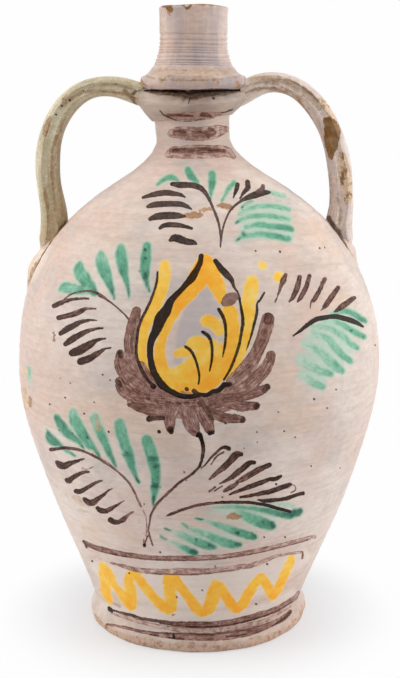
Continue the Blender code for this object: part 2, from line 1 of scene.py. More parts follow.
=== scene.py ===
"""Looks of a two-handled oil jar: thrown and pulled clay, tin glaze and brush painting.

Metres, +Z up. The painted front faces -Y. The painting is laid out in pixels of the 400 x 678 photograph,
as strokes read off it, and is laid on the clay through the photograph's camera.
"""

import math
from typing import NamedTuple

import bmesh
import bpy
import numpy as np
from mathutils import Color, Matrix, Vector
from mathutils.geometry import interpolate_bezier


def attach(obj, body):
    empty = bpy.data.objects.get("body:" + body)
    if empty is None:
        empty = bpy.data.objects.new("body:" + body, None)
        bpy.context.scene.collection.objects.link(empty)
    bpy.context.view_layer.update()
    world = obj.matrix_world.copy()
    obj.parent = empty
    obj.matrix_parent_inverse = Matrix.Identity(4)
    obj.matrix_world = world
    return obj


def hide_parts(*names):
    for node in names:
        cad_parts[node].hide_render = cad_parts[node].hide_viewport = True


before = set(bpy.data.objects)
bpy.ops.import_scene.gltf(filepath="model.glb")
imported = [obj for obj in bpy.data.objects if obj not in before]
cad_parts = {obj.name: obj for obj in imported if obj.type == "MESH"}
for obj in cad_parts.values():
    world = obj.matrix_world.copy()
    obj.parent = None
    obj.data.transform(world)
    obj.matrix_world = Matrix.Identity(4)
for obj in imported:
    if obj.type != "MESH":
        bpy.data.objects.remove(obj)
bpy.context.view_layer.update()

bl_info = {
    "name": "Oil jar looks",
    "version": (1, 0, 0),
    "blender": (4, 5, 0),
    "location": "3D View > Sidebar > Oil jar",
    "description": "Thrown clay, tin glaze and brush painting of a two-handled oil jar",
    "category": "Object",
}

TAU = 2.0 * math.pi
BODY = "root"

# Camera of the photograph
PHOTO_CENTRE = (200.0, 339.0)
FOCAL_PIXELS = 1220.70
PHOTO_HEIGHT = 678.0
SENSOR = 36.0
CAMERA_X = 0.0008
CAMERA_DISTANCE = 0.9283
CAMERA_HEIGHT = 0.39816
CAMERA_PITCH = math.radians(10.825)
MM_PER_PIXEL = 0.77

# Shape of the thrown pieces, as in the solids
SLIP = 0.0003
FOOT_RADIUS = 0.0836
FOOT_SWELL = 0.0024
FOOT_HEIGHT = 0.0140
FOOT_BORE = 0.0650
FOOT_LAP = 0.0010  # how far the ring runs up under the wall's edge
FOOT_EDGE = 0.0016  # chamfer of the bore's lower edge
COIL_WIDEST = 0.0058  # height at which the ring is widest
REBATE_WIDTH = 0.0070
REBATE_FLOOR = 0.0057
FLOOR_UNDERSIDE = 0.0060
FLOOR_TOP = 0.0160
WAIST_RADIUS = 0.0826
WAIST_RISE = 0.0210
BELLY_RADIUS = 0.1386
BELLY_HEIGHT = 0.2040
BELLY_FULLNESS_LOW = 0.0710
BELLY_FULLNESS_HIGH = 0.0800
WALL = 0.0080
ROOT_RADIUS = 0.0563
ROOT_HEIGHT = 0.3449
ROOT_SLOPE = math.radians(58.8)
SHOULDER_FULLNESS = 0.0506
ROOT_SWEEP = 0.0228
NECK_RADIUS = 0.0278
NECK_HEIGHT = 0.3745
NECK_SWEEP = 0.0076
LIP_RADIUS = 0.0296
LIP_HEIGHT = 0.4090
LIP_SWEEP = 0.0120
UPPER_WALL = 0.0076
THROAT_BORE = 0.0208
SOCKET_RADIUS = 0.0242
SOCKET_FOOT = 0.3965
TUBE_RADIUS = 0.0249
BORE_RADIUS = 0.0194
TUBE_TOP = 0.4700
SKIRT_TOP = 0.4463
COLLAR_TOP = 0.4193
COLLAR_RADIUS = 0.0394
COLLAR_SEAT = 0.4093
COLLAR_SEAT_RADIUS = 0.0335
SKIRT_SWEEP = 0.0095
SKIRT_CLIMB = 0.0027
SPIGOT_FOOT = 0.3968
SPIGOT_RADIUS = 0.0239
SPOUT_OUTSIDE = 0.0235  # radius past which a vertex belongs to the spout's outside
BAND_BORE = 0.0262
BAND_REACH = 0.0420
BAND_FRONT = 0.0345
BAND_HEIGHT = 0.0175
BAND_FOOT_REACH = 0.0305
BAND_FOOT_FRONT = 0.0306
BAND_DIP = 0.0050
BAND_TILT = 0.0050

# How far the axis stands off the belly's axis towards -X: (height, drift)
DRIFT = (
    (0.0140, 0.0008),
    (0.0600, 0.0002),
    (0.2040, 0.0000),
    (0.3065, 0.0013),
    (0.3379, 0.0013),
    (0.3918, 0.0052),
    (0.4193, 0.0040),
)

# Rows of the photograph where the throwing grooves cross the front of the spout
GROOVE_ROWS = (33.5, 39.5, 43.8, 47.5, 50.0, 52.5, 57.0, 60.5, 63.0, 65.0)
GROOVE_WIDTH = 0.00062

# Bites out of the worn rim of the spout: (turn, half width as a turn, depth)
RIM_CHIPS = ((-2.02, 0.16, 0.0016), (-1.72, 0.12, 0.0008), (-1.15, 0.10, 0.0005), (0.9, 0.14, 0.0007))

# The drying crack in the neck band
CRACK_TURN = -1.76
CRACK_WIDTH = 0.05
CRACK_DEPTH = 0.0022

# Brush strokes, read off the photograph: (load, (x, y, width), ...) in pixels. The load is how thick
# the pigment lies, or (start, end) where that changes along the stroke.

TOP_FERN_SLATE = (
    ((0.78, 0.36), (172, 184, 4), (180, 185, 6.5), (188, 185, 6), (196, 186, 6), (203, 190, 5),
     (208, 197, 3.5), (213, 208, 2.5), (217, 218, 3), (219, 225, 2.5), (220.5, 236, 1.9), (220.5, 247, 1.5)),
    ((0.34, 0.85), (220.5, 247, 1.5), (221, 240, 2), (222.5, 230, 2), (226, 219, 2), (230, 211, 2),
     (235, 205.5, 2.5), (241, 201, 3), (249, 197, 6), (258, 194, 7), (266, 192.5, 5), (270, 192.5, 2)),
    (0.66, (143, 197.5, 3), (154, 194.5, 5.5), (162, 193, 6), (169, 193, 6), (180, 194.7, 4),
     (185, 197.3, 1.5)),
    (0.7, (147.5, 206.8, 3), (154, 204.8, 6), (168, 203.7, 6), (181, 204.3, 5.5), (187, 206.5, 4),
     (191.5, 209.3, 1.5)),
    (0.74, (150, 219, 4), (157.5, 216.5, 7), (167.5, 215.5, 7.5), (177, 215.6, 6.5), (184.5, 216.2, 3)),
    (0.72, (160, 228, 3.5), (165, 225.2, 5), (174.5, 224.8, 5.5), (184.5, 226.4, 4), (191.5, 228.4, 3)),
    (0.8, (170, 240.3, 3), (175.5, 238, 8), (186, 241.4, 7), (192.5, 242.4, 5.5), (196.5, 244, 2)),
    (0.8, (237.5, 184.5, 4.5), (236.5, 189, 4.5), (233.5, 197.5, 1.5)),
    (0.72, (247.5, 182, 5), (248, 187.5, 5.5), (244.5, 191.5, 4), (239.8, 198.5, 1.5)),
    (0.5, (263, 186, 4), (262, 189, 5), (257, 192, 4)),
)

TOP_FERN_GREEN = (
    (0.62, (157.5, 184.5, 4), (165, 179, 6), (172, 177.5, 7), (178, 180.5, 4)),
    (0.66, (188, 170, 8), (191, 176, 9), (197.5, 182, 5)),
    (0.64, (212, 174, 8), (212, 183, 8.5), (211, 192, 5), (210.5, 200, 2)),
    (0.55, (234, 182.5, 6), (228, 190, 5), (222, 201, 3)),
    (0.3, (269, 192.5, 5), (278, 194.5, 6), (284, 196.5, 5)),
    (0.5, (242, 207.5, 3.4), (246, 203.5, 3.6), (252, 201, 3.6)),
    (0.46, (239, 214.5, 3.4), (245, 210.5, 4.4), (255, 207, 5.6), (268, 206, 5.6), (280, 207.5, 5.6),
     (289.5, 209.5, 4.6)),
    (0.48, (236, 223, 3.6), (242, 219, 4.4), (250, 216.5, 5.6), (267, 215.7, 5.6), (281, 218, 5.6),
     (289, 219.5, 5.2)),
    ((0.46, 0.66), (246, 227, 5), (259, 224.5, 6.4), (274, 226.7, 6.8), (288.7, 228, 7.6),
     (291.6, 229.6, 6)),
    ((0.46, 0.62), (236, 241, 3.6), (243, 236.5, 5), (255, 234.5, 6.4), (267, 234.7, 6.8),
     (278.5, 237, 7.6), (288.5, 239, 7)),
    (0.95, (242, 207.3, 2.6), (242.6, 207, 2.6)),
    (0.95, (236.3, 222.8, 3), (238, 222.3, 2.4)),
    (1.0, (243, 233, 4.6), (243.6, 233.6, 4.4)),
    (0.95, (238, 239.5, 3), (239, 239.2, 2.6)),
)

TOP_FERN_WASH = (
    (0.2, (246, 211, 10), (262, 208, 13), (282, 209, 11)),
    (0.25, (244, 221, 11), (262, 219, 14), (285, 221, 12)),
    (0.34, (244, 234, 12), (262, 231, 17), (286, 233, 16)),
)

RUST_SMEARS = (
    (0.5, (186, 216, 5), (194, 215, 7), (202, 215, 3)),
    (0.34, (200, 211, 3), (207, 209, 3.5), (213, 209.7, 3)),
    (0.6, (218, 205.5, 3), (224, 205.8, 6), (231, 208, 5)),
    (0.8, (54, 332.5, 2), (54, 341, 2.2)),
    (0.0, (75, 498, 6), (82, 502, 7), (88, 505, 5)),
    (0.02, (79, 510, 3), (87, 512, 3)),
    (0.45, (228, 517, 4), (234, 516, 7), (240, 516.5, 4)),
    (0.5, (30, 398, 3), (30.5, 406, 3)),
    (0.6, (172, 615.5, 1.6), (175, 614.5, 1.6)),
    (0.14, (97, 420, 5), (98, 428, 6)),
    (0.4, (182, 392, 3), (187, 394, 4), (192, 395, 3)),
    (0.9, (171, 4.6, 2), (166, 6.4, 2.4), (163, 7.4, 1.6)),
    (1.0, (183, 5, 2.4), (187, 8, 3), (191, 5.4, 2)),
    (0.6, (200, 4.4, 1.6), (212, 4.6, 1.8), (224, 5.8, 1.8)),
    (0.5, (140, 78, 2.4), (142, 82, 3), (146, 85.5, 2)),
    (0.3, (160, 79, 3), (162, 82, 3)),
    (0.4, (236, 82, 3), (240, 85.6, 3), (236, 88, 2)),
    (0.5, (168, 12, 3), (170, 15, 2)),
    (0.4, (298, 100, 3), (303, 107, 3)),
    (0.5, (344, 196, 3), (346, 204, 2)),
)

LEFT_FERN_GREEN = (
    ((0.6, 0.85), (147, 246, 9), (146, 258, 11.5), (145, 270, 10.5), (146, 280, 6.5), (149.5, 291.5, 2.5)),
    ((0.48, 0.85), (121, 247.5, 9), (121, 256, 12.5), (123, 268, 11.5), (126, 280, 6.5), (128.5, 290, 4),
     (129, 297.5, 2)),
    ((0.4, 0.85), (101, 253, 6), (101.5, 261, 13), (104, 270, 13.5), (108, 280, 10), (112, 290, 6),
     (114, 298.5, 3)),
    ((0.46, 0.75), (79.5, 263.5, 6), (79.5, 271, 13), (85, 280, 14), (91.5, 289, 11.5), (95, 294, 6)),
    ((0.55, 0.4), (60, 290, 5), (66, 287.5, 12), (76, 289.5, 11), (88, 290.5, 8)),
    (1.0, (145, 249.5, 3), (145.3, 250, 3)),
    (1.0, (145.5, 258, 2.6), (145.8, 258.4, 2.4)),
    (1.0, (139.5, 271, 2.6), (139.8, 271.3, 2.4)),
    (0.95, (145, 274, 3), (145.4, 277, 3)),
)

LEFT_FERN_BROWN = (
    (0.62, (64.3, 299.2, 1.5), (71, 294.4, 1.8), (79.7, 291.7, 2), (89, 290.9, 2), (94.7, 292.3, 2.5),
     (100, 295, 3.8), (108.5, 300.8, 2), (118, 308.3, 1.8), (124, 314, 1.8), (128.8, 319.5, 1.8)),
    ((0.95, 0.7), (54, 306, 4.5), (60.5, 303, 5), (71, 299.8, 3.5), (82, 298.5, 2.5), (88.5, 298.6, 2)),
    ((0.95, 0.6), (58.5, 318, 5), (68, 315.7, 5.5), (79.7, 311.8, 5.5), (86, 308.8, 3.2),
     (95.7, 308.8, 1.5)),
    ((1.0, 0.7), (60.5, 333.5, 4.5), (68, 328.5, 6.5), (78.7, 323, 5), (88.3, 320.3, 3), (96.8, 320.2, 1.5)),
    ((1.0, 0.75), (65.5, 344, 5), (73.3, 338.7, 7), (84, 332.5, 5), (94.7, 329, 3.3), (102.7, 328, 2)),
    ((1.0, 0.75), (72, 353, 7), (79.7, 350.3, 9.5), (89.3, 344.8, 7.5), (97.9, 339.8, 3.5),
     (105.3, 338.8, 2)),
    ((1.0, 0.75), (80.5, 361.3, 7.5), (88.3, 359, 7.5), (98.9, 352.8, 5), (105.3, 348.8, 2.4),
     (110.7, 347.9, 2)),
)

SEPALS_BROWN = (
    (0.3, (262, 345, 9), (250, 366, 13), (238, 380, 12), (226, 388, 10)),
    (0.42, (141, 366, 10), (148, 384, 15), (158, 393, 13), (172, 400, 11)),
    (0.36, (164, 405, 13), (178, 409, 18), (196, 410, 20), (212, 408, 16), (230, 404, 12)),
    (0.34, (186, 404, 16), (190, 418, 17), (194, 428, 12)),
    (0.34, (200, 404, 14), (206, 418, 15), (209, 428, 11)),
    (0.4, (228, 392, 10), (216, 398, 10), (204, 402, 9)),
    ((0.5, 0.36), (136.5, 311, 9), (134.5, 320, 11.5), (132, 330, 12.5), (130, 340, 12), (130, 350, 11.5),
     (131, 360, 10), (136, 370, 9), (143, 378, 9)),
    ((0.5, 0.36), (120, 353, 7), (120, 361, 12), (123.5, 370, 14.5), (131, 379, 15), (139, 387, 14),
     (147, 394, 12)),
    ((0.5, 0.36), (119, 381, 8), (123, 389, 13), (132, 395, 14), (144, 400, 14), (158, 404, 14)),
    ((0.55, 0.36), (129, 404.5, 4), (138, 407, 9), (152, 410, 12), (166, 411, 11)),
    ((0.5, 0.34), (268, 319, 13), (266, 328, 14), (262, 340, 13), (257, 352, 13), (250, 362, 13),
     (241, 372, 12), (231, 381, 10)),
    ((0.5, 0.36), (271, 355, 9), (269, 362, 11), (262, 373, 13), (253, 382, 13), (242, 390, 13),
     (228, 396, 12)),
    ((0.55, 0.4), (267, 387, 7), (262, 390, 9), (252, 394, 10), (240, 397, 9), (225, 398, 8), (205, 400, 8)),
    ((0.58, 0.4), (256, 406, 8), (250, 406, 9), (240, 406, 11), (228, 403, 9), (215, 401, 8)),
    ((0.62, 0.44), (242, 419.5, 7.5), (235, 418.5, 9), (225, 418, 10), (216, 415, 10), (208, 412, 8)),
    ((0.3, 0.42), (178, 401, 10), (173, 410, 13), (170, 419, 12), (170, 427, 9), (171, 431, 6)),
    ((0.3, 0.4), (188, 401, 12), (188, 413, 13), (190, 424, 13), (195, 431.5, 10)),
    ((0.32, 0.45), (198, 402, 12), (203, 413, 13), (208, 424, 11), (211, 431, 8)),
    (0.4, (158, 400, 7), (172, 401, 9), (188, 402, 9), (204, 402, 9), (220, 397, 7)),
    (0.62, (200, 399, 4), (204, 406, 4.6), (209, 414, 5.4), (212, 420, 4)),
    ((0.85, 0.7), (149, 419, 6), (155, 418.5, 4.6), (162.5, 417.8, 5)),
    (0.62, (268.5, 316.6, 8), (267.6, 320.5, 8)),
    (0.5, (265.5, 333, 4), (264, 338, 5)),
    (0.95, (170.6, 429.6, 6.6), (171.6, 432.4, 4)),
    (1.0, (209.6, 433.2, 4.6), (212.6, 432.6, 3.8)),
    (0.7, (193.5, 431.5, 2.6), (195, 432, 2.4)),
    (0.9, (149, 417.5, 4), (150, 419.5, 4)),
    (0.8, (257, 405.5, 4.5), (255, 407, 4)),
    (0.75, (267, 387, 5), (263.5, 391, 3)),
    (0.75, (243, 419.5, 4), (241.5, 421, 2.6)),
    (0.8, (212, 418.4, 3), (209, 415.5, 2)),
    (0.8, (224.6, 423, 2.2), (226, 423.4, 2.2)),
    (0.85, (119.6, 353, 4), (121, 356.5, 3.6)),
    (0.8, (118.6, 381.4, 3), (121, 386, 3)),
    (0.6, (147, 398.5, 2.6), (149, 399.4, 2.6)),
    (0.6, (155, 400.6, 2.6), (157.6, 401.4, 2.6)),
    (0.62, (167, 402, 3), (169.6, 402.4, 2.6)),
    (0.62, (177, 403, 3), (180, 403.6, 2.6)),
    (0.66, (185, 403.4, 3), (188.4, 403, 3)),
    (0.62, (198.6, 403.6, 3), (201.4, 404.4, 3)),
)

SEPALS_SLATE = (
    (0.25, (136, 316, 2.4), (133.4, 328, 3), (131.5, 341, 2.6), (132, 354, 2)),
    (0.8, (158.8, 431.6, 3.6), (159.2, 432, 3.4)),
    (0.9, (210, 433.4, 3), (211.4, 433.2, 2.8)),
    (0.85, (170.6, 430, 3.4), (171.2, 431.4, 3)),
)

FLOWER_YELLOW = (
    ((0.5, 0.62), (165, 265, 9), (164.5, 272, 11), (163, 282, 12), (160, 293, 12), (155.5, 305, 11),
     (149.5, 316, 10.5), (145, 328, 9), (142.7, 340, 8.5), (142, 350, 8.5), (143, 361, 8), (146.5, 371, 7),
     (152, 380, 5)),
    ((0.46, 0.62), (252, 281, 11), (251, 290, 14), (249, 300, 13), (248.5, 310, 13), (248, 320, 12),
     (246.5, 332, 10), (243.5, 345, 9), (239, 357, 9), (233, 369, 8), (227, 378, 6)),
    ((0.95, 0.66), (205, 262, 15), (200, 275, 20), (193, 287, 16), (185, 297, 14), (177, 308, 10),
     (170.4, 320, 8.5), (164.5, 332, 8), (160.5, 344, 9), (159.5, 356, 11), (162, 368, 12), (168, 379, 13),
     (177, 387, 11)),
    (0.8, (207, 262, 13), (212, 275, 17), (218, 288, 14), (222, 300, 8)),
    ((0.7, 0.8), (229, 313, 16), (231.5, 325, 15), (232, 340, 14), (228, 355, 16), (221, 370, 15),
     (210, 382, 15)),
    (0.62, (207, 321, 12), (213, 323, 11), (219, 330, 10)),
    (0.55, (190, 345.5, 8), (195, 343, 12), (202, 342, 10)),
    (0.55, (177, 354, 6), (182, 352, 9), (188, 351, 8)),
    (0.5, (172, 376, 14), (186, 372, 18), (200, 362, 20), (212, 350, 20)),
    ((0.6, 0.75), (176, 381, 14), (190, 380, 18), (206, 374, 18), (218, 364, 16)),
    (0.85, (178, 388, 8), (190, 388.5, 10), (206, 386, 11), (216, 381, 9)),
    (0.36, (262, 265.5, 7.6), (262.6, 266, 7.4)),
    (0.42, (278.5, 276.5, 10), (279, 277, 9.8)),
)

FLOWER_SLATE = (
    (1.0, (201.2, 256, 5), (200, 263, 5.5), (196.5, 270, 6.5), (192.5, 277, 8), (185.5, 285, 6),
     (181, 290, 5.5), (171.5, 300, 7), (166.5, 310, 10), (160.5, 319, 12), (156.5, 330, 9.5),
     (151.5, 340, 7.5), (150, 350, 6.5), (150.7, 360, 6.5), (153, 370, 7), (158.5, 380, 7), (162, 385, 8),
     (168.5, 390, 6), (174.5, 393, 5.5), (180, 395.5, 5.5), (186, 396.7, 5), (193, 396.5, 5),
     (199, 394.7, 4.5), (207, 395, 4), (212, 392, 4.5), (219, 390, 5), (223, 386, 5)),
    (1.0, (153, 386, 5.6), (153.6, 386.4, 5.4)),
    ((1.0, 0.5), (215.4, 260.7, 4.5), (220.9, 268.3, 6.5), (227, 275, 7), (231.5, 280, 5), (234, 287, 2.6),
     (238, 293, 2), (240, 299, 2)),
    (0.72, (157.6, 272, 2.2), (157, 280, 2.6), (154.8, 289, 2.6), (152, 297.5, 2.8), (146, 310.5, 3),
     (141.5, 319.5, 3), (138.5, 328.5, 3), (136.8, 340, 3), (136.3, 351, 3), (138, 361, 3),
     (141.8, 370, 3.2), (147, 379, 3.4), (153, 386, 3.5)),
    (0.8, (185.5, 346.8, 3), (190.5, 350.4, 3.2), (194.6, 357.4, 3), (197.6, 366.6, 2.6),
     (199.4, 375.7, 2.3), (198.6, 383.8, 2)),
    (0.85, (202.7, 332, 3.5), (208.3, 336, 4), (210.8, 341, 3.5), (212.3, 349.3, 3), (211.6, 360.5, 2.5),
     (209.6, 371, 1.8)),
    (0.85, (218.9, 309.3, 3.8), (223.5, 318, 3.5), (225.5, 327, 3.2), (225.8, 336, 3), (224.5, 347.3, 2.5),
     (222.5, 357.4, 1.2)),
    (0.78, (239.7, 299.7, 2.5), (241.7, 310.8, 3), (243, 321, 3.5), (241.7, 331, 3), (239.2, 344.3, 3),
     (235, 357.4, 3), (230, 369.6, 2.5), (224, 379.7, 2.5)),
    (0.7, (264, 293, 2.5), (260, 300, 2.5), (257, 304, 2), (257, 312, 3), (255, 321, 2.8),
     (252.5, 331, 2.5), (249.5, 341, 2), (246, 351, 1.2)),
    (0.85, (224, 385, 6), (230, 384, 4)),
    (0.6, (186.5, 389, 4), (187, 389.6, 3.8)),
    (0.6, (194, 391, 5), (197, 393, 4)),
)

RIGHT_BROWN = (
    (0.6, (285.5, 274.5, 3.5), (283.5, 280, 6), (281, 286, 4), (278, 295, 1.6), (275, 302, 1.4)),
    (0.72, (299.5, 277, 4.5), (297.5, 287, 5.5), (293, 297, 4.5), (289, 302, 1.5)),
    (0.72, (309.5, 276, 4.5), (306, 287, 5), (301, 297, 4.5), (297.5, 302, 1.5)),
    (0.72, (324.5, 279, 4.5), (320, 289, 4.5), (314.5, 299, 4.5), (311, 302.5, 2), (310, 309, 1)),
    (0.74, (338, 287.5, 4.5), (333, 295, 5.5), (326, 305, 5), (323.5, 308, 2.5), (320.5, 310.5, 1)),
    (0.76, (354, 298, 4.5), (347, 303, 6), (340, 308, 5.5), (335, 311.5, 2)),
)

RIGHT_SLATE = (
    (1.0, (293, 336, 1.5), (300, 331, 3), (308, 324.5, 4.5), (316, 319.5, 5), (326, 317.3, 4.8),
     (336, 316.6, 5), (346, 319, 5.5), (355, 322, 5), (363, 326.5, 2.5)),
)

RIGHT_WASH = (
    (0.22, (316, 328, 9), (332, 325, 14), (352, 330, 14)),
    (0.26, (308, 344, 14), (324, 342, 22), (346, 348, 16)),
    (0.3, (302, 360, 14), (320, 360, 22), (338, 366, 14)),
    (0.3, (303, 374, 12), (320, 380, 14)),
)

RIGHT_GREEN = (
    ((0.3, 0.75), (330, 314, 4), (338, 312, 6), (345, 311, 7), (352, 313, 7), (358, 317, 7), (365, 321, 6)),
    ((0.2, 0.6), (322, 319.5, 4), (333, 321, 6), (343, 325, 7), (351, 330, 7), (358, 334, 7), (364, 337, 6)),
    ((0.15, 0.5), (312, 327, 5), (324, 327, 6), (334, 330, 7), (342, 336, 8), (350, 343, 7), (357, 348, 6)),
    ((0.12, 0.5), (307, 333, 5), (318, 335, 7), (328, 339, 8), (335, 347, 9), (342, 355, 8), (350, 361, 7)),
    ((0.05, 0.45), (305, 345, 8), (318, 350, 9), (326, 357, 10), (334, 365, 10), (342, 371, 7)),
    ((0.04, 0.5), (300, 360, 10), (312, 367, 10), (320, 371, 9), (331, 374, 7)),
    ((0.05, 0.4), (303, 375, 8), (312, 382, 9), (322, 387, 8)),
    (0.7, (360, 318, 4), (364.5, 320.5, 4)),
    (0.9, (351, 330.5, 3), (351.4, 331, 2.8)),
    (0.3, (29, 368, 4), (29.5, 379, 4)),
)

LOW_LEFT_GREEN = (
    ((0.85, 0.6), (47, 430, 2), (48.5, 435, 7), (51, 439.5, 10), (55, 442.5, 9), (60, 445, 5),
     (65, 449.5, 4.5), (70, 452.5, 4), (75, 456, 3.2)),
    ((0.8, 0.55), (56.7, 417, 7), (61, 424.6, 10), (66.3, 432, 10), (72.7, 437.4, 8), (79, 441.6, 6),
     (83.4, 448, 3)),
    ((0.45, 0.8), (72.7, 412, 8), (74.8, 420, 12), (80, 430, 12), (84.4, 437.4, 11), (89.8, 444.8, 9),
     (94, 448, 6), (98.3, 454.4, 4), (100.4, 460, 3)),
    ((0.3, 0.85), (94.6, 418.2, 11), (98.3, 427.8, 11), (102.6, 437.4, 10), (105.8, 444.8, 8),
     (109, 452.3, 7), (113.2, 460.8, 5), (116, 466.5, 3)),
    ((0.5, 0.7), (119.5, 424, 12), (121, 430, 12.5), (122.3, 436.3, 12), (125.5, 446, 11),
     (129, 455.5, 10.5), (131.4, 464, 9), (134.6, 473.6, 5.5), (136.7, 479, 4.5), (139, 482.7, 3.5)),
    ((0.5, 0.75), (146.8, 440, 12), (149.6, 449, 12.6), (152.4, 458.4, 13), (154.7, 466.8, 12),
     (155.7, 475, 10.5), (155.2, 484.5, 9.8), (154.7, 492, 8), (153.8, 498.5, 5.6), (153.3, 505, 3)),
    (0.85, (123, 455, 3.4), (127, 454.6, 4.6), (132, 456, 3.4)),
    (0.85, (149, 458.5, 3), (154, 457.8, 5), (158, 459, 3)),
    (0.75, (154, 467, 3), (158, 466, 3.4)),
    (0.95, (151.5, 486.5, 3.6), (156, 485.4, 5), (160, 487, 3.2)),
    (0.95, (153.6, 497, 3), (153.2, 504, 2.6)),
    (0.95, (136.5, 478.5, 3), (138.5, 482, 3)),
    (1.0, (72.8, 433, 2.6), (73.2, 433.4, 2.4)),
    (1.0, (87, 437.5, 2.6), (87.4, 438, 2.4)),
    (0.9, (99, 457, 2.6), (100.3, 460, 2.4)),
    (0.9, (82, 446, 2.6), (83.6, 448, 2.4)),
    (0.9, (72, 454, 2.4), (75, 456, 2.6)),
)

LOW_LEFT_BROWN = (
    ((0.8, 0.3), (51, 449.5, 4), (57, 449, 3.5), (64, 448, 3.5), (72, 448.5, 3), (80, 450, 2.8),
     (88, 453, 2.6), (96, 457, 3), (104, 461.5, 3), (112, 467, 2.4), (120, 473.5, 2.2), (127, 480.5, 2.2),
     (131, 486, 2), (135, 493, 2), (138, 500, 2.2), (141, 507, 1.8)),
    (0.16, (143, 510, 1.4), (145.5, 516, 1.5), (146.4, 526, 1.5), (146, 536, 1.4)),
    ((1.0, 0.7), (56.5, 462, 3.5), (60, 465, 7), (64, 466, 7), (70, 463.5, 5.5), (76, 461.5, 3.5),
     (80, 460, 2.5), (84, 459, 2)),
    ((0.95, 0.7), (66.5, 480, 4), (69, 480.5, 6), (74, 477, 5), (80, 473.5, 4), (85, 472, 3), (89, 472, 2)),
    ((0.95, 0.6), (76, 491, 4.5), (79, 491.5, 5), (84, 489.5, 5), (90, 486, 4), (96, 482.5, 3),
     (102, 480.5, 1.5)),
    ((0.95, 0.65), (84.5, 499, 4), (88, 502, 6), (93, 502.5, 6.5), (98, 499, 5), (104, 494.5, 3.5),
     (108, 491, 2), (112, 488.5, 1.3)),
    ((0.95, 0.6), (97.5, 508, 4), (101, 510.5, 5.5), (106, 511, 5), (112, 508, 4), (118, 504.5, 2.5),
     (124, 500.5, 1.3)),
    ((1.0, 0.3), (110.5, 520, 6), (114, 522, 5.5), (119, 522, 5), (124, 519, 5), (128, 515, 3),
     (133, 512, 1.8)),
    (0.3, (82, 468.5, 1.4), (88, 469, 1.4), (93, 467, 1.4)),
)

STEM_BROWN = (
    ((0.95, 0.4), (197, 436, 3), (199.5, 434.8, 5), (201.9, 440.7, 4.2), (203.3, 447.2, 4.2),
     (202.8, 454.7, 3.6), (201.4, 461.2, 3), (199.1, 466.8, 2.8), (194.4, 472, 2.8), (187.9, 477.1, 2.6),
     (180.4, 481.7, 2.6), (175.7, 486, 2.8), (170.1, 491.1, 2.8), (164.5, 496.2, 2.8), (158.9, 501.8, 2.8),
     (154.3, 507.9, 2.6), (151.5, 513.5, 2.4), (150, 519, 2.2), (149.2, 525, 2), (148.4, 530, 2),
     (149.5, 535.2, 2), (151.2, 540.4, 2), (152.9, 545.2, 1.8)),
    (0.5, (149.5, 534.4, 1.6), (146.9, 537.8, 1.6), (144.7, 544.3, 1.6)),
    (0.3, (143.9, 538.7, 1.3), (143.4, 544.3, 1.3)),
)

STEM_SLATE = (
    ((1.0, 0.7), (197, 436, 3.4), (199.5, 435.4, 5), (201.7, 441, 3.6), (203, 446, 2.4)),
    (0.9, (144.3, 545, 3.8), (144.6, 545.6, 3.6)),
)

LOW_RIGHT_BROWN = (
    ((0.95, 0.55), (228.9, 448.6, 4.4), (225.2, 447.2, 4), (220.5, 448.6, 3), (214, 454.7, 2.5),
     (207.5, 462.1, 2), (201.4, 468.2, 1.5)),
    (0.6, (223.3, 451.9, 1.8), (216.8, 456.6, 2), (211.2, 464.5, 1.5)),
    ((0.9, 0.6), (241.1, 454.2, 4.5), (236.4, 454.7, 7), (230.8, 460.3, 7), (224.3, 466.8, 6.5),
     (217.8, 472, 5), (213.1, 476.2, 3.5), (209.3, 479.4, 1.5)),
    ((0.95, 0.65), (254.1, 462.6, 4.5), (249.5, 463.1, 5.5), (243, 468.2, 6), (235.5, 474.3, 5.5),
     (229, 479, 4), (219.6, 483.6, 1.5)),
    ((0.95, 0.55), (269.7, 464.8, 4.5), (260.7, 468.7, 5.5), (252.3, 473.3, 6), (243.9, 478.5, 6),
     (237.3, 481.7, 3.5)),
    (0.7, (237, 483.6, 4), (230.8, 487.3, 5), (224.3, 491.1, 3)),
    (0.6, (215, 487, 2.2), (209.3, 491.5, 2.2)),
    (0.5, (222.4, 486, 1.5), (214.5, 491, 1.5)),
    ((0.95, 0.75), (280.7, 476.3, 3.5), (275.4, 479, 4.5), (269, 479.4, 4.5), (260.7, 482.7, 4.5),
     (250.4, 486.4, 5), (241.1, 490.1, 4), (233.6, 492.9, 3), (229.4, 494.8, 1.5)),
    ((1.0, 0.8), (289.8, 484.8, 4.5), (282.8, 487, 5), (271.1, 491.2, 5), (260.6, 493.5, 4.5),
     (250.4, 495.7, 3.5), (240.1, 497.1, 2)),
    ((1.0, 0.85), (303.1, 493.4, 4), (297.8, 494.4, 3.5), (287.1, 498.2, 4), (276.4, 499.8, 4),
     (265.8, 500.8, 4), (257.8, 500, 1.5)),
    ((0.75, 0.6), (166.5, 516, 1.5), (170, 514.5, 2.5), (175, 512.5, 3), (180, 510.5, 3), (185, 508.8, 2.6),
     (190, 507.3, 2.6), (197, 505.3, 3), (205, 504, 3.2), (212, 503.2, 3), (220, 502.5, 3), (226, 502.3, 3)),
    (0.3, (288, 488, 1.3), (294, 485, 1.3), (295.5, 490, 1.4), (291, 493, 1.3)),
)

LOW_RIGHT_SLATE = (
    ((0.7, 1.0), (216, 502.8, 2), (222, 502.4, 3), (230, 502.2, 3.2), (240, 502.2, 3.2), (250, 502.5, 3.2),
     (260, 504, 3.4), (268, 505.5, 3.6), (275, 507.5, 3.6), (282, 509.5, 3.4), (290, 511.5, 3)),
)

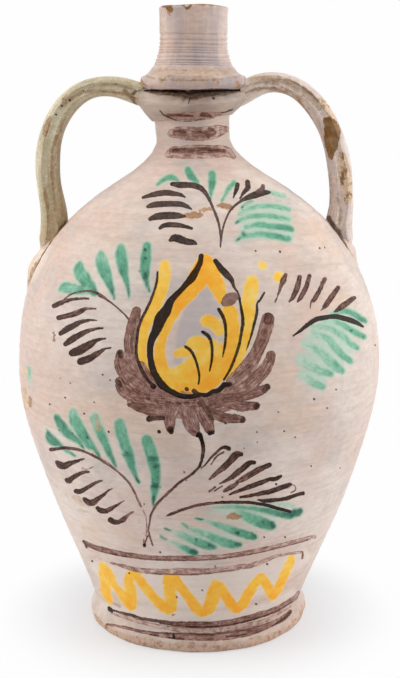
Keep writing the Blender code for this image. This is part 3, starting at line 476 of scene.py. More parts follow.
LOW_RIGHT_GREEN = (
    (0.12, (266, 504, 3), (280, 504.5, 5), (293, 505.5, 5)),
    ((0.3, 0.85), (213, 507.2, 2), (218, 507.5, 3), (226, 507, 4), (236, 507, 5), (246, 507.8, 5),
     (257, 509, 6), (268, 511, 7), (279, 513.5, 8), (288, 515.5, 8), (292, 516, 6)),
    (0.95, (290, 514, 6), (296, 513, 9), (300, 511, 7)),
    ((0.2, 0.85), (232, 510.5, 5), (240, 513, 8), (248, 517, 11), (256, 520.5, 12), (264, 523.5, 12),
     (270, 525.5, 11), (273, 526, 8)),
    ((0.22, 0.72), (199, 519, 3.5), (206, 520.5, 4), (215, 524, 6), (225, 527.5, 8), (235, 531, 9),
     (245, 534.5, 9.5), (252, 536.5, 9), (255, 537, 6)),
    (0.95, (194.5, 518.2, 2), (198, 518.8, 3.6), (202, 519.2, 2)),
    ((0.2, 0.75), (192, 529.5, 5), (198, 532, 7), (205, 534, 7), (215, 538.5, 9), (225, 542.5, 10),
     (233, 544.5, 9), (240, 544.5, 6)),
    (0.75, (182.5, 523.5, 2.4), (185, 525, 4), (188.5, 528.5, 3.6)),
    ((0.12, 0.75), (172, 531, 4), (180, 534.5, 7), (188, 538, 8), (196, 541.4, 9), (204, 544.5, 9.5),
     (211, 546.5, 8), (215, 547, 5)),
    (0.98, (164.5, 528.3, 1.8), (167, 529.2, 3), (170, 530.2, 2.2)),
    ((0.15, 0.8), (172, 542, 3), (180, 546, 6), (187, 549.5, 7.5), (193, 552, 8), (196, 553, 6)),
    (0.95, (160.5, 536, 2), (163, 538, 3), (166, 539.5, 2.4)),
    (1.0, (237.8, 532.8, 3.4), (238.2, 533.2, 3.2)),
    (0.9, (252, 533, 3), (254.5, 535.5, 4)),
    (0.95, (263, 521.8, 3.6), (263.6, 522.4, 3.4)),
    (0.95, (272, 523.5, 4), (273.5, 526, 4)),
    (0.9, (236, 543.5, 4), (239.5, 545, 4)),
    (0.9, (209, 546, 4), (213, 547, 4)),
    (0.9, (191, 552, 4), (195, 553, 4.4)),
    (0.95, (196.3, 539.3, 2.6), (196.7, 539.7, 2.4)),
)

LOW_RIGHT_WASH = (
    (0.12, (210, 512, 6), (232, 514, 12), (256, 520, 18), (272, 522, 12)),
    (0.12, (185, 535, 10), (206, 537, 18), (230, 540, 14)),
)

FOOT_BANDS_BROWN = (
    ((0.5, 0.16), (83.6, 541.3, 3), (88, 544.3, 4.5), (100, 549.1, 5.5), (110, 551.3, 5), (120, 553.4, 5),
     (130, 555.2, 5), (140, 556.5, 5), (150, 557.8, 5), (160, 558.2, 5), (170, 558.2, 5), (188, 558.2, 5),
     (200, 557.9, 5.5), (210, 557.4, 5.5), (220, 557, 5), (230, 555.7, 5), (240, 554.3, 5), (250, 552.1, 5),
     (260, 550.3, 5), (270, 548, 5), (280, 545.8, 5), (290, 543.1, 4.5), (300, 540.4, 4.5), (310, 537.7, 4),
     (314.3, 536.8, 4)),
    (0.5, (92, 548, 1), (104, 552.2, 1.2), (120, 555.6, 1.3), (140, 558.6, 1.3), (160, 560.2, 1.2),
     (185, 560.4, 1.3), (210, 559.6, 1.2), (235, 557, 1.2), (260, 552.4, 1.1), (285, 546.4, 1.1),
     (308, 540, 1)),
    (0.8, (83.6, 541.3, 2.2), (87, 547.4, 2)),
    ((0.22, 0.14), (110.5, 562.8, 1.5), (120, 565.1, 3), (127, 567.3, 4), (135.6, 569.5, 5),
     (144.3, 570.8, 5), (153, 571.2, 5.5), (161.7, 571.5, 5), (174.6, 571.2, 6), (187.7, 571.2, 6),
     (200, 571.5, 6), (210, 571, 5.5), (220, 569.6, 5.5), (230, 568.7, 5.5), (240, 566.9, 5),
     (250, 565.6, 5), (260, 562.4, 4.5), (274.3, 557, 3), (285, 554.3, 2.5), (294, 553, 2.5),
     (301.3, 552.1, 3)),
    (0.4, (302.6, 552, 2), (302.8, 555, 1.8), (302.2, 558.4, 1.6)),
    (0.4, (146, 573.4, 1), (170, 574.4, 1.3), (195, 574.6, 1.3), (215, 572.8, 1.1), (235, 570.2, 1)),
    ((0.7, 0.36), (113.1, 610.2, 2), (120, 612.3, 2.5), (129.6, 614.9, 3), (140, 618, 3), (150, 620.1, 3),
     (160, 621.4, 3.5), (170, 622.7, 3.5), (180, 624, 5), (190, 624.5, 6), (200, 624.3, 6), (210, 624.6, 6),
     (220, 623.7, 6), (230, 622.3, 6), (240, 620.1, 6), (250, 617.8, 6), (260, 614.7, 6), (270, 611.5, 5.5),
     (280, 607, 5), (290, 601.2, 5), (295, 597.6, 4.5), (298.6, 592.2, 3)),
    (0.72, (160, 623, 1.2), (180, 626.4, 1.8), (205, 627.2, 2), (225, 625.8, 1.8), (250, 620.6, 1.6),
     (275, 612, 1.4), (292, 602, 1.2)),
    (0.1, (112, 613.5, 2), (130, 619, 3), (150, 624.5, 4), (175, 629, 5), (200, 630.5, 5), (225, 629.5, 5),
     (250, 625, 5), (272, 617, 4), (290, 606, 3)),
    ((0.3, 0.48), (106.6, 624.5, 2), (111.4, 625, 2.5), (120, 626.7, 2.5), (128.7, 628.8, 2.5),
     (137.4, 631, 2.6), (146, 632.4, 3.2), (153, 633.8, 4.6), (161.7, 634.9, 5.4), (170.3, 635.6, 6.6),
     (180, 636.4, 7.4), (190, 636.6, 7.6), (200, 637, 7.6), (210, 637, 7.6), (220, 636.6, 8),
     (230, 635.6, 8), (240, 633.8, 8), (250, 631.8, 8), (260, 628.6, 7), (270, 624.6, 6), (280, 620.1, 5.5),
     (286.8, 615.6, 5), (290.4, 611.5, 4)),
    (0.8, (104.9, 629.3, 2), (106.6, 624.5, 2)),
)

FOOT_BANDS_SLATE = (
    (0.9, (108.8, 607.6, 3), (110, 609.4, 4.4), (112, 611.4, 3)),
    (0.3, (122, 625.8, 1), (140, 630, 1.2), (160, 632.8, 1.4), (185, 633.8, 1.6), (205, 634, 1.6),
     (225, 633, 1.6), (245, 630, 1.4), (265, 624.4, 1.2)),
    (0.5, (150, 634.6, 1.4), (158, 636, 1.6)),
    (0.5, (168, 637.6, 1.8), (184, 639, 1.6)),
    (0.5, (196, 634.6, 1.6), (214, 635, 1.8)),
    (0.5, (226, 637, 1.8), (246, 634.4, 1.8)),
    (0.8, (173.4, 634.5, 2.2), (174.2, 637.5, 2.4)),
    (0.6, (272, 625.8, 1.4), (280, 621.4, 1.6), (286, 617, 2), (290.6, 612.4, 2.8)),
)

FOOT_BANDS_YELLOW = (
    ((0.55, 0.7), (102.7, 565.6, 7), (104.4, 573.4, 10), (105.7, 581.2, 10), (105.7, 589, 9.5),
     (106.6, 594.2, 8), (109.6, 600.2, 5), (110.5, 603.7, 2)),
    ((0.6, 0.75), (106.2, 570.8, 8), (110.5, 576.8, 8), (113.1, 583.8, 6), (118.3, 589.8, 6.6),
     (123.5, 595.9, 9), (127.8, 602, 9), (131.3, 607.2, 7)),
    ((0.75, 0.6), (132.2, 606.3, 7), (132.2, 597.6, 9), (130.4, 589, 10), (128.7, 581.2, 9),
     (130.4, 575, 9)),
    ((0.6, 0.8), (129.4, 575.6, 8), (134.8, 575.1, 9), (140.9, 581.2, 8), (146.1, 588.1, 8),
     (151.3, 594.2, 8), (156.5, 600.2, 9), (161.7, 605.4, 10), (167.8, 609.8, 8)),
    ((0.8, 0.66), (171.2, 608, 10), (171.2, 599.4, 11), (169.5, 590.7, 11), (169.5, 582, 12),
     (170.4, 577.5, 11)),
    ((0.66, 0.9), (167, 577, 7), (173.8, 578.5, 10), (179, 585.5, 9), (184.2, 591.6, 8.5),
     (189.4, 598.5, 9), (194.6, 605.4, 10), (198.9, 610.6, 10), (204.1, 611.5, 10)),
    ((0.9, 0.7), (204, 611.8, 9), (208.6, 608.4, 11), (212.2, 599.4, 13), (214.4, 591.3, 12),
     (216.7, 585, 10)),
    ((0.7, 0.9), (216, 584.6, 9), (221.2, 588.6, 9), (225.7, 595.8, 9), (230.2, 603, 10), (234.7, 608, 9),
     (237.4, 608.5, 8)),
    ((0.9, 0.66), (237, 608.5, 8), (242.8, 603.9, 9), (246.4, 596.7, 10), (250.9, 589.5, 9),
     (255.4, 583.2, 9), (261, 578, 9)),
    ((0.66, 0.85), (260, 577.8, 8), (265.3, 582.3, 9), (268.9, 589.5, 9), (272.2, 596, 8)),
    ((0.85, 0.5), (272, 595.6, 7.6), (277, 590.4, 8), (280.6, 583.2, 8), (284.2, 575.1, 8),
     (287.8, 567.9, 8), (290.5, 560.6, 7), (291.4, 556.1, 4)),
)

NECK_BANDS_BROWN = (
    (0.2, (165, 115, 3), (175, 116.5, 6), (185, 116.5, 8), (195, 116, 8), (205, 116, 8), (215, 114.8, 5),
     (224, 112.4, 2)),
    (0.5, (168, 114.6, 2), (180, 115.5, 2.6), (192, 116, 2.4)),
    (0.6, (202, 114.5, 4), (207, 115, 4.5), (211, 116.4, 2.4)),
    (0.2, (172, 133, 9), (180, 133, 13), (190, 133.5, 14), (200, 134, 14), (210, 132.6, 14), (218, 131, 12),
     (226, 129, 6)),
    (0.34, (175, 132.5, 5), (184, 133, 7), (196, 134, 6), (208, 134, 7), (214, 132.4, 5)),
    (0.52, (174, 131, 2.4), (180, 131.4, 3), (186, 132.4, 2)),
    (0.52, (199, 132, 2.2), (206, 133, 3), (208.6, 137, 2.6)),
    (0.5, (209, 128.6, 3), (213, 130, 3)),
    (0.2, (168, 155, 6), (173, 152.6, 11), (182, 152.3, 13), (192, 152, 14), (202, 151.7, 14),
     (212, 152, 13), (222, 151.2, 12), (229, 153, 9), (234, 157, 4)),
    (0.42, (171, 150.8, 4), (182, 150.3, 5.4), (194, 150.3, 6), (206, 150, 6), (216, 150.6, 5),
     (224, 151, 4)),
    (0.66, (173, 150.2, 2.2), (184, 149.8, 2.8), (195, 149.8, 3), (204, 149.2, 3), (213, 150.2, 2.6),
     (223, 150.6, 2.4)),
)

# Dark strokes round the neck. The short vertical one is the crack in the band; the line along the band's
# lower edge is painted shadow, and the long strokes at the top are painted shade filling the gap under the
# collar.
NECK_SLATE_AND_SHADE = (
    (0.5, (159.5, 110, 0.8), (161, 112, 1.1), (164.4, 115.4, 1.5), (169, 117.4, 1.8), (176, 120.2, 1)),
    (0.3, (176, 120.4, 0.9), (185, 121.2, 0.9), (195, 120.7, 0.9), (208, 117.8, 0.8)),
    (0.6, (221, 113, 0.9), (226, 112, 1.5), (233, 109.4, 1.2)),
    (0.95, (227.6, 128, 1.8), (230, 132, 3)),
    (0.5, (190, 98, 1.4), (188.6, 103.4, 1)),
    (0.45, (213, 98.2, 2.4), (214, 98.6, 2.2)),
    (0.72, (144.5, 90.7, 1.4), (152, 90.7, 1.6), (163, 90.8, 1.8), (174, 91.4, 2.6), (183, 91.2, 2.6),
     (189, 92.8, 4.6), (196, 91.4, 3.6), (206, 90.8, 2.6), (218, 90.5, 1.8), (230, 90.5, 1.6),
     (240, 90.6, 1.4)),
    (0.5, (150, 89.4, 1), (200, 89, 1.4), (240, 89.4, 1)),
    (0.6, (226, 89.6, 1), (240, 89.6, 1.2)),
    (0.3, (228, 110, 0.9), (233, 109, 0.9)),
)

SPOUT_SLATE = (
    (0.85, (217, 82, 3), (217.6, 82.6, 2.8)),
    (0.4, (162, 80, 1.8), (162.6, 80.4, 1.6)),
)

PITS_SLATE = tuple(
    (0.8 * load, (x, y, 0.72 * width), (x + 0.4, y + 0.3, 0.72 * width))
    for x, y, width, load in (
        (255.4, 250.8, 2.4, 0.4), (279.8, 251.4, 3.0, 0.6), (319.5, 248, 2.4, 0.6), (324.6, 247.2, 2.2, 0.4),
        (102.5, 374.5, 2.6, 0.6), (110, 380, 2.2, 0.5), (70, 383, 2.2, 0.5), (65, 397.5, 2.4, 0.5),
        (60, 378, 2.0, 0.4), (336, 389.5, 2.4, 0.5), (314, 399, 3.4, 0.85), (375, 345, 2.4, 0.5),
        (49.5, 404, 2.6, 0.8), (84, 413.5, 2.8, 0.5), (94, 402, 2.0, 0.4), (108.5, 431.8, 2.8, 0.8),
        (59, 430, 2.0, 0.6), (327, 408, 2.4, 0.5), (278, 412, 2.2, 0.45), (284, 431, 2.4, 0.5),
        (295, 437, 2.4, 0.45), (311, 466, 2.6, 0.5), (276, 484, 3.2, 0.85), (257, 432, 2.2, 0.4),
        (257, 442, 2.2, 0.4), (184, 472, 2.8, 0.45), (186, 480, 2.2, 0.3), (144, 504, 2.2, 0.4),
        (285, 537, 2.6, 0.5), (264, 537, 2.6, 0.6), (267, 564, 2.8, 0.6), (92, 561, 3.2, 0.55),
        (160, 552, 3.0, 0.45), (222, 503, 2.0, 0.4), (222, 497, 2.4, 0.4), (69.5, 100, 3.8, 1.0),
        (62, 105.5, 3.6, 1.0), (56, 114.5, 3.0, 0.7), (83, 90.5, 3.0, 0.6), (321.5, 148.5, 3.6, 0.7),
        (51, 244, 4.2, 0.95), (340, 468, 2.0, 0.6), (202, 590, 2.4, 0.4), (256, 604, 3.0, 0.35),
        (176.5, 597, 2.6, 0.3), (129, 573, 2.4, 0.7), (215, 566, 2.0, 0.3), (244, 448, 1.8, 0.3),
    )
)

BARE_CLAY = (
    (0.4, (320, 99.5, 4), (325, 106, 7), (331, 113, 6), (334.5, 119, 3)),
    (0.42, (341, 155, 8), (343, 166, 12), (345, 178, 13), (347, 190, 10), (349.5, 200, 5)),
    (1.0, (325, 120, 5), (330, 123, 12), (332.6, 131, 16.4), (331.4, 139, 15), (331.4, 148, 11),
     (331, 156, 5), (331, 159.5, 2)),
    (1.0, (343.5, 171, 2), (342.5, 178, 4.2), (342, 184.6, 2)),
    (1.0, (343, 153.6, 1.8), (343, 159.6, 2.6)),
    (0.9, (345, 187, 2), (345.4, 188.4, 2)),
    (0.95, (348, 192, 2.4), (348.4, 194.4, 2)),
    (0.9, (347, 169, 2), (347.3, 171, 2)),
    (0.75, (50, 117.4, 3), (47, 126, 6.4), (44.4, 135, 4)),
    (0.7, (66.5, 95, 3), (63, 101, 3.4)),
    (1.0, (167.4, 8.4, 3.4), (170.6, 8.8, 5), (170.6, 11.4, 3)),
    (0.5, (24, 388, 4), (25, 398, 5), (27, 408, 4)),
    (0.6, (227.5, 128, 2), (230, 131.5, 3)),
    (0.5, (26, 368, 3), (25, 378, 3)),
    (0.7, (217, 82, 3), (217.6, 82.6, 2.8)),
)

# Dark strokes at the handles' joints; the first two are painted shade in the creases where the handles meet
# the jar.
JOINT_SLATE_AND_SHADE = (
    (0.6, (53.6, 240, 1.4), (51, 244.6, 1.8)),
    (0.85, (320, 103, 1), (324, 108, 1.6), (328, 111, 1.4), (334, 119, 1.4)),
    (0.12, (225, 302.6, 8), (229.5, 299.5, 12.6), (234, 297, 9)),
)

# Stains and painted shade, laid in one pigment. Painted shade: the dark wedge in the gap under the collar,
# the shade where each handle's foot meets the shoulder, the lines along the left handle and the darkening
# over the right handle's arch. The rest are stains in the glaze, such as the line round the spout's lip and
# the belt on its skirt.
STAINS_AND_SHADE = (
    (0.8, (66, 222, 2.4), (61.5, 229.5, 5), (56, 237, 5.6), (51, 245, 4.4)),
    (0.4, (43, 237, 3), (52, 238.6, 4), (58, 232, 4)),
    (0.3, (50, 245, 2), (43, 255, 3), (36, 266, 4), (31, 276, 4), (27, 287, 2)),
    (0.1, (54, 220, 11), (48.6, 233, 13), (42.6, 245, 9)),
    ((0.9, 0.45), (328.5, 217.5, 4), (333.4, 225, 6), (339.4, 234.6, 6), (344, 244, 4.4), (346.4, 252, 2.4),
     (347.4, 257, 1)),
    (0.9, (331, 221, 1.6), (336, 229, 2.4), (341.4, 239, 2)),
    ((0.5, 0.2), (327, 210, 4), (329, 196, 3), (329.4, 176, 2.6)),
    (0.35, (57.4, 136, 3), (52.6, 148, 3.4), (51.6, 165, 3), (52.4, 185, 3), (54.4, 203, 2.6), (57, 222, 2)),
    (0.22, (62, 120, 2), (59, 140, 3), (59, 160, 3), (60, 185, 3), (63, 215, 2.6)),
    (0.3, (45, 190, 3), (47, 205, 3.4), (48, 222, 3)),
    (0.26, (100, 84.6, 1.6), (118, 85, 2), (131, 88.6, 2.4)),
    (0.3, (60, 108, 3), (70, 99, 3.4), (84, 92.6, 3), (104, 90.6, 2.6), (126, 94, 3)),
    (0.85, (147, 87.4, 1.6), (140, 89.6, 1.8), (134.6, 92.6, 2.6), (131.4, 96, 3.6), (132.6, 100, 2.8),
     (136.4, 104, 1.6)),
    (0.5, (124, 91, 3), (129, 94.6, 5), (133, 99, 5)),
    (1.0, (156, 91.8, 1.6), (170, 93, 3.6), (181, 93.4, 4.6), (188.6, 95.6, 6.6), (197, 93.6, 5.4),
     (208, 92, 3.4), (222, 91.4, 2)),
    (0.3, (246, 93, 2.4), (260, 88.6, 3.4), (276, 89.6, 4), (292, 98.4, 4), (305, 111, 3.6), (315, 128, 3),
     (323, 148, 2.6)),
    (0.5, (256, 78, 2), (272, 76.4, 2.4), (290, 80, 2.6), (306, 90, 2.6), (318, 101, 2.6)),
    (0.22, (244, 87, 2), (258, 82.6, 2.6), (274, 83.2, 2.6), (288, 90, 2.2), (302, 101, 2)),
    (0.24, (338, 197, 2), (340.4, 212, 2.6), (339, 228, 2)),
    (0.15, (250, 80, 5), (262, 77.6, 6), (278, 79.6, 6.6), (294, 86.6, 6.6), (310, 98.6, 6), (320, 108, 5)),
    (0.16, (272, 93, 4), (288, 100, 4), (302, 112, 4), (313, 129, 4), (320, 146, 3.6), (325, 164, 3)),
    (0.7, (150, 91.6, 2), (165, 93.6, 3), (180, 94.6, 4), (196, 97, 6), (212, 93.6, 3.4), (236, 91.6, 2)),
    (0.1, (148, 70.5, 5), (162, 72.6, 8), (190, 73.6, 9), (216, 72.4, 8), (236, 70, 5)),
    (0.22, (158, 14, 3), (159, 30, 3), (158, 50, 3)),
    (0.3, (146, 76, 1.4), (160, 79.4, 1.6), (190, 80.4, 1.6), (220, 79.4, 1.6), (240, 76, 1.4)),
    (0.5, (163, 5.6, 1.6), (176, 4.4, 1.8), (196, 4, 1.8), (214, 4.4, 1.6), (225, 5.6, 1.4)),
    (0.2, (101, 590, 3), (108, 600, 3), (120, 606.6, 2)),
)

HAZE = (
    (0.5, (206, 280, 14), (200, 300, 26), (192, 322, 26), (184, 340, 18), (178, 360, 12)),
    (0.4, (212, 306, 14), (212, 322, 16), (206, 340, 14)),
)

# Pale strokes. The two widest, above the foot, and the one on the shoulder are painted light, lightening
# glaze that the lamps leave dim; the others are pale patches on the left wad and the neck band.
PALE_PATCHES_AND_LIGHT = (
    (0.5, (96, 566, 14), (120, 580, 26), (160, 588, 34), (200, 592, 38), (240, 586, 34), (276, 572, 26),
     (304, 556, 14)),
    (0.5, (104, 606, 8), (140, 612, 12), (200, 616, 12), (260, 610, 12), (292, 592, 8)),
    (0.6, (47, 243, 8), (41, 256, 10), (35, 270, 8), (31, 280, 5)),
    (-0.1, (150, 100, 8), (162, 101, 12), (176, 104, 12), (184, 106, 8)),
    (-0.1, (214, 102, 8), (228, 101, 10), (238, 99, 6)),
    (0.1, (184, 230, 14), (206, 228, 18), (236, 246, 12)),
)

# The motifs of each pigment, in the order in which the pigments lie on each other
MOTIFS = {
    "pale": (PALE_PATCHES_AND_LIGHT,),
    "haze": (HAZE,),
    "stain_and_shade": (STAINS_AND_SHADE,),
    "yellow": (FLOWER_YELLOW, FOOT_BANDS_YELLOW),
    "wash": (TOP_FERN_WASH, RIGHT_WASH, LOW_RIGHT_WASH),
    "green": (TOP_FERN_GREEN, LEFT_FERN_GREEN, RIGHT_GREEN, LOW_LEFT_GREEN, LOW_RIGHT_GREEN),
    "rust": (RUST_SMEARS,),
    "brown": (LEFT_FERN_BROWN, SEPALS_BROWN, RIGHT_BROWN, LOW_LEFT_BROWN, STEM_BROWN, LOW_RIGHT_BROWN,
              FOOT_BANDS_BROWN, NECK_BANDS_BROWN),
    "slate": (TOP_FERN_SLATE, SEPALS_SLATE, FLOWER_SLATE, RIGHT_SLATE, STEM_SLATE, LOW_RIGHT_SLATE,
              FOOT_BANDS_SLATE, NECK_SLATE_AND_SHADE, SPOUT_SLATE, JOINT_SLATE_AND_SHADE, PITS_SLATE),
    "bare": (BARE_CLAY,),
}

# How the brush works; lengths are in mm, and widths in pixels
MM = 1000.0
CURVE_STEPS = 4  # points of a stroke's curve between two that were read
LEAST_WIDTH = 0.5
REACH_LIMIT = 3.0  # how far from a stroke's edge its distance is kept
BRUSH_SOFT = 0.45  # half width of the step between two strokes that lie on each other
POOLING = {"brown": 0.18, "slate": 0.10}  # how much thicker the pigment dries at its edge
POOL_BASE = 0.4  # load that every edge gains, beside its own
POOL_PLACE = 0.2  # how far inside the edge it is thickest
POOL_WIDTH = 0.5
LAP_LOAD = 0.04  # how much thicker the pigment is where two strokes lie on each other
STREAK_STEP = 7.3  # how far apart two strokes lie in the noise of the bristles
FINE_REACH = 0.85  # how near to a crisp stroke's edge the mesh is finer
THIN_HALF = 1.7  # half width under which a stroke needs a finer mesh
CRISP = ("brown", "slate", "rust", "bare")
SOFT = ("pale", "haze", "wash", "yellow")

# Where the painting lies on the jar. A facing of 1 is seen straight on by the photograph, and 0 edge-on
BACK_LIMIT = 0.02  # how far behind the jar's middle it reaches
PAINT_FACING = 0.02  # least facing that takes paint
FINE_FACING = 0.09  # least facing where the mesh is finer under it
FLANK_FACING = 0.42  # most that the body beside a handle's foot faces the photograph
FLANK_REACH = 0.085  # how far out from the axis that begins
FLANK_FOOT = 0.26  # height at which it begins
FOOT_SHADE_AND_STAIN_REACH = 0.0195  # how far ahead of a handle's middle the painted shade and stains at its foot run on the body

# Mesh of the thrown pieces
RELIEF_DEPTH = 0.0006
GRID = 0.0019  # spacing on the body
COIL_GRID = 0.0009
BAND_GRID = 0.0008
TUBE_GRID = 0.00045
INSIDE_GRID = 0.014
FRONT_TURN = math.radians(200.0)  # turn round the front that is spun finer
TUCK = 30.0  # how fast a wall draws in where it tucks under its neighbour, in 1 / m
AXIS_GAP = 0.0001  # least radius from which a place is moved out
SHARP_ANGLE = math.radians(50.0)
WELD = 0.00002
SKIN = 0.001  # how far under the outside a vertex still belongs to it
SEAM_LAP = 0.0016  # how far the two halves of the body run past the belly seam under each other
FINGER_SPACING = 0.0067  # height between two throwing lines
RIB_SPACING = 0.0113
DROOP_START = 0.030  # radius from which the collar droops

# Unevenness of the clay, as waves: (size, times round, how fast they turn along it, start)
SWELLS = ((0.00030, 2.0, 6.0 * TAU, 0.0), (0.00022, 3.0, -9.0 * TAU, 1.3), (0.00012, 7.0, 14.0 * TAU, 0.4))
FOOT_LUMPS = ((0.00035, 5.0, 0.0, 0.7), (0.00025, 11.0, 160.0, 0.0), (0.00018, 23.0, 260.0, 2.0))
SPOUT_LUMPS = ((0.00022, 3.0, 70.0, 0.0), (0.00012, 9.0, -180.0, 0.0))
SKIRT_SWAY = ((0.00035, 2.0, 0.0, 0.6),)
COLLAR_DROOP = ((0.00045, 3.0, 0.0, 1.0), (0.0003, 8.0, 0.0, 0.0))
RIM_SWAY = ((0.0003, 4.0, 0.0, 0.3),)
BAND_RIPPLES = ((0.0005, 9.0, 0.0, 0.5), (0.0004, 17.0, 0.0, 0.0), (0.0003, 31.0, 0.0, 1.0))
PULL_MARKS = ((0.00022, 3.0, 90.0, 0.0), (0.00018, 2.0, -140.0, 1.0))
WAD_LUMPS = ((0.10, 2.0, 9.0, 0.0), (0.05, 5.0, -14.0, 0.0))


# Photograph and clay


def photo_places(places):
    """Pixels of the photograph where points of the clay lie, as seen by its camera."""
    ahead = places[:, 1] + CAMERA_DISTANCE
    rise = places[:, 2] - CAMERA_HEIGHT
    depth = ahead * math.cos(CAMERA_PITCH) - rise * math.sin(CAMERA_PITCH)
    up = ahead * math.sin(CAMERA_PITCH) + rise * math.cos(CAMERA_PITCH)
    x = PHOTO_CENTRE[0] + FOCAL_PIXELS * (places[:, 0] - CAMERA_X) / depth
    y = PHOTO_CENTRE[1] - FOCAL_PIXELS * up / depth
    return np.stack([x, y], axis=1)


def height_of_row(row, front):
    """Height at which a row of the photograph crosses a front face that far from the axis."""
    slope = (PHOTO_CENTRE[1] - row) / FOCAL_PIXELS
    ahead = CAMERA_DISTANCE - front
    sine, cosine = math.sin(CAMERA_PITCH), math.cos(CAMERA_PITCH)
    return CAMERA_HEIGHT + ahead * (slope * cosine - sine) / (cosine + slope * sine)


def smoothstep(low, high, value):
    share = np.clip((value - low) / (high - low), 0.0, 1.0)
    return share * share * (3.0 - 2.0 * share)


def drift(height):
    """Place of the jar's axis along X at a height."""
    place = DRIFT[0][1]
    for (low, start), (high, end) in zip(DRIFT, DRIFT[1:]):
        place = place + (end - start) * smoothstep(low, high, height)
    return -place


def waves(turn, far, rows):
    """Sum of a table's waves at places that turn round the axis and lie that far along it."""
    return sum(size * np.sin(times * turn + along * far + start) for size, times, along, start in rows)


def relief(turn, height):
    """How far the thrown wall stands off its ideal line: finger lines, a slow swell and pressed flats.

    The wall stays inside that line, so that the jar doesn't grow.
    """
    lines = 0.00011 * np.sin(TAU * height / FINGER_SPACING + turn + 0.8 * np.sin(3.0 * turn))
    lines += 0.00008 * np.sin(TAU * height / RIB_SPACING - turn + 2.1)
    return lines + waves(turn, height, SWELLS) - RELIEF_DEPTH


def leaning(angle):
    """Unit vector in the profile plane that leans by angle from the vertical towards the axis."""
    return Vector((-math.sin(angle), math.cos(angle)))


def curve(start, start_arm, end_arm, end, count):
    knots = [Vector((p[0], p[1], 0.0)) for p in (start, start_arm, end_arm, end)]
    return [Vector((p.x, p.y)) for p in interpolate_bezier(*knots, count)]


UP = leaning(0.0)
ROOT_RUN = leaning(ROOT_SLOPE)
WAIST = Vector((WAIST_RADIUS, FOOT_HEIGHT + SLIP))
BELLY = Vector((BELLY_RADIUS, BELLY_HEIGHT))
ROOT = Vector((ROOT_RADIUS, ROOT_HEIGHT))
THROAT = Vector((NECK_RADIUS, NECK_HEIGHT))
LIP = Vector((LIP_RADIUS, LIP_HEIGHT))


def lower_line():
    return curve(WAIST, WAIST + UP * WAIST_RISE, BELLY - UP * BELLY_FULLNESS_LOW, BELLY, 200)


def upper_line():
    arm = ROOT - ROOT_RUN * SHOULDER_FULLNESS
    return curve(BELLY, BELLY + UP * BELLY_FULLNESS_HIGH, arm, ROOT, 200)


def neck_line():
    throat = curve(ROOT, ROOT + ROOT_RUN * ROOT_SWEEP, THROAT - UP * NECK_SWEEP, THROAT, 60)
    return throat + curve(THROAT, THROAT + UP * LIP_SWEEP, LIP - UP * LIP_SWEEP, LIP, 60)[1:]


def body_line():
    return lower_line() + upper_line()[1:] + neck_line()[1:]


def way_along(points):
    """Length of a line from its start to each of its points."""
    return np.concatenate([[0.0], np.cumsum(np.hypot(*np.diff(points, axis=0).T))])


def evenly(line, spacing):
    """The same line with points about that far apart."""
    points = np.array([(p[0], p[1]) for p in line])
    far = way_along(points)
    count = max(int(round(far[-1] / spacing)), 1)
    marks = np.linspace(0.0, far[-1], count + 1)
    return [(float(np.interp(m, far, points[:, 0])), float(np.interp(m, far, points[:, 1]))) for m in marks]


def inward(line, wall):
    """The line of a wall's inside, for an outside line that climbs."""
    points = np.array([(p[0], p[1]) for p in line])
    run = np.gradient(points, axis=0)
    run /= np.hypot(run[:, 0], run[:, 1])[:, None]
    return [tuple(p) for p in points + wall * np.stack([-run[:, 1], run[:, 0]], axis=1)]


OUTLINE = np.array([(p.x, p.y) for p in body_line()])


def outside_radius(height):
    """Radius of the body's outside at a height."""
    return np.interp(height, OUTLINE[:, 1], OUTLINE[:, 0])


def thrown(outline, front_steps, back_steps, closed):
    """A bmesh spun from an outline: fine round the painted front, coarser round the back."""
    shape = bmesh.new()
    start = -0.5 * math.pi + 0.5 * FRONT_TURN
    corners = [shape.verts.new((r * math.cos(start), r * math.sin(start), z)) for r, z in outline]
    pairs = list(zip(corners, corners[1:] + corners[:1])) if closed else list(zip(corners, corners[1:]))
    ends = [shape.edges.new(pair) for pair in pairs]
    line = corners + ends
    for turn, steps in ((FRONT_TURN, front_steps), (TAU - FRONT_TURN, back_steps)):
        spun = bmesh.ops.spin(
            shape, geom=line, cent=(0, 0, 0), axis=(0, 0, -1), dvec=(0, 0, 0), angle=turn, steps=steps,
            use_merge=False, use_normal_flip=False, use_duplicate=False,
        )
        line = spun["geom_last"]
    bmesh.ops.remove_doubles(shape, verts=shape.verts, dist=WELD)
    bmesh.ops.recalc_face_normals(shape, faces=shape.faces)
    return shape


def coordinates(shape):
    return np.array([vertex.co for vertex in shape.verts])


def round_axis(shape):
    """Each vertex's place, and its radius, turn and height on the axis."""
    places = coordinates(shape)
    return places, np.hypot(places[:, 0], places[:, 1]), np.arctan2(places[:, 1], places[:, 0]), places[:, 2]


def push_out(places, radius, push, height):
    """Moves places away from the axis by push, and then with the axis where it leans."""
    share = (radius + push) / np.maximum(radius, AXIS_GAP)
    places[:, 0] = places[:, 0] * share + drift(height)
    places[:, 1] *= share


def move_to(shape, places):
    for vertex, place in zip(shape.verts, places):
        vertex.co = place


def as_piece(name, shape, material, nodes):
    """An object from a finished bmesh that rides on the jar and stands for the CAD nodes named."""
    mesh = bpy.data.meshes.new(name)
    shape.to_mesh(mesh)
    shape.free()
    mesh.shade_smooth()
    mesh.set_sharp_from_angle(angle=SHARP_ANGLE)
    piece = bpy.data.objects.new(name, mesh)
    bpy.context.scene.collection.objects.link(piece)
    mesh.materials.append(material)
    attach(piece, BODY)
    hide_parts(*nodes)
    return piece


# Brush


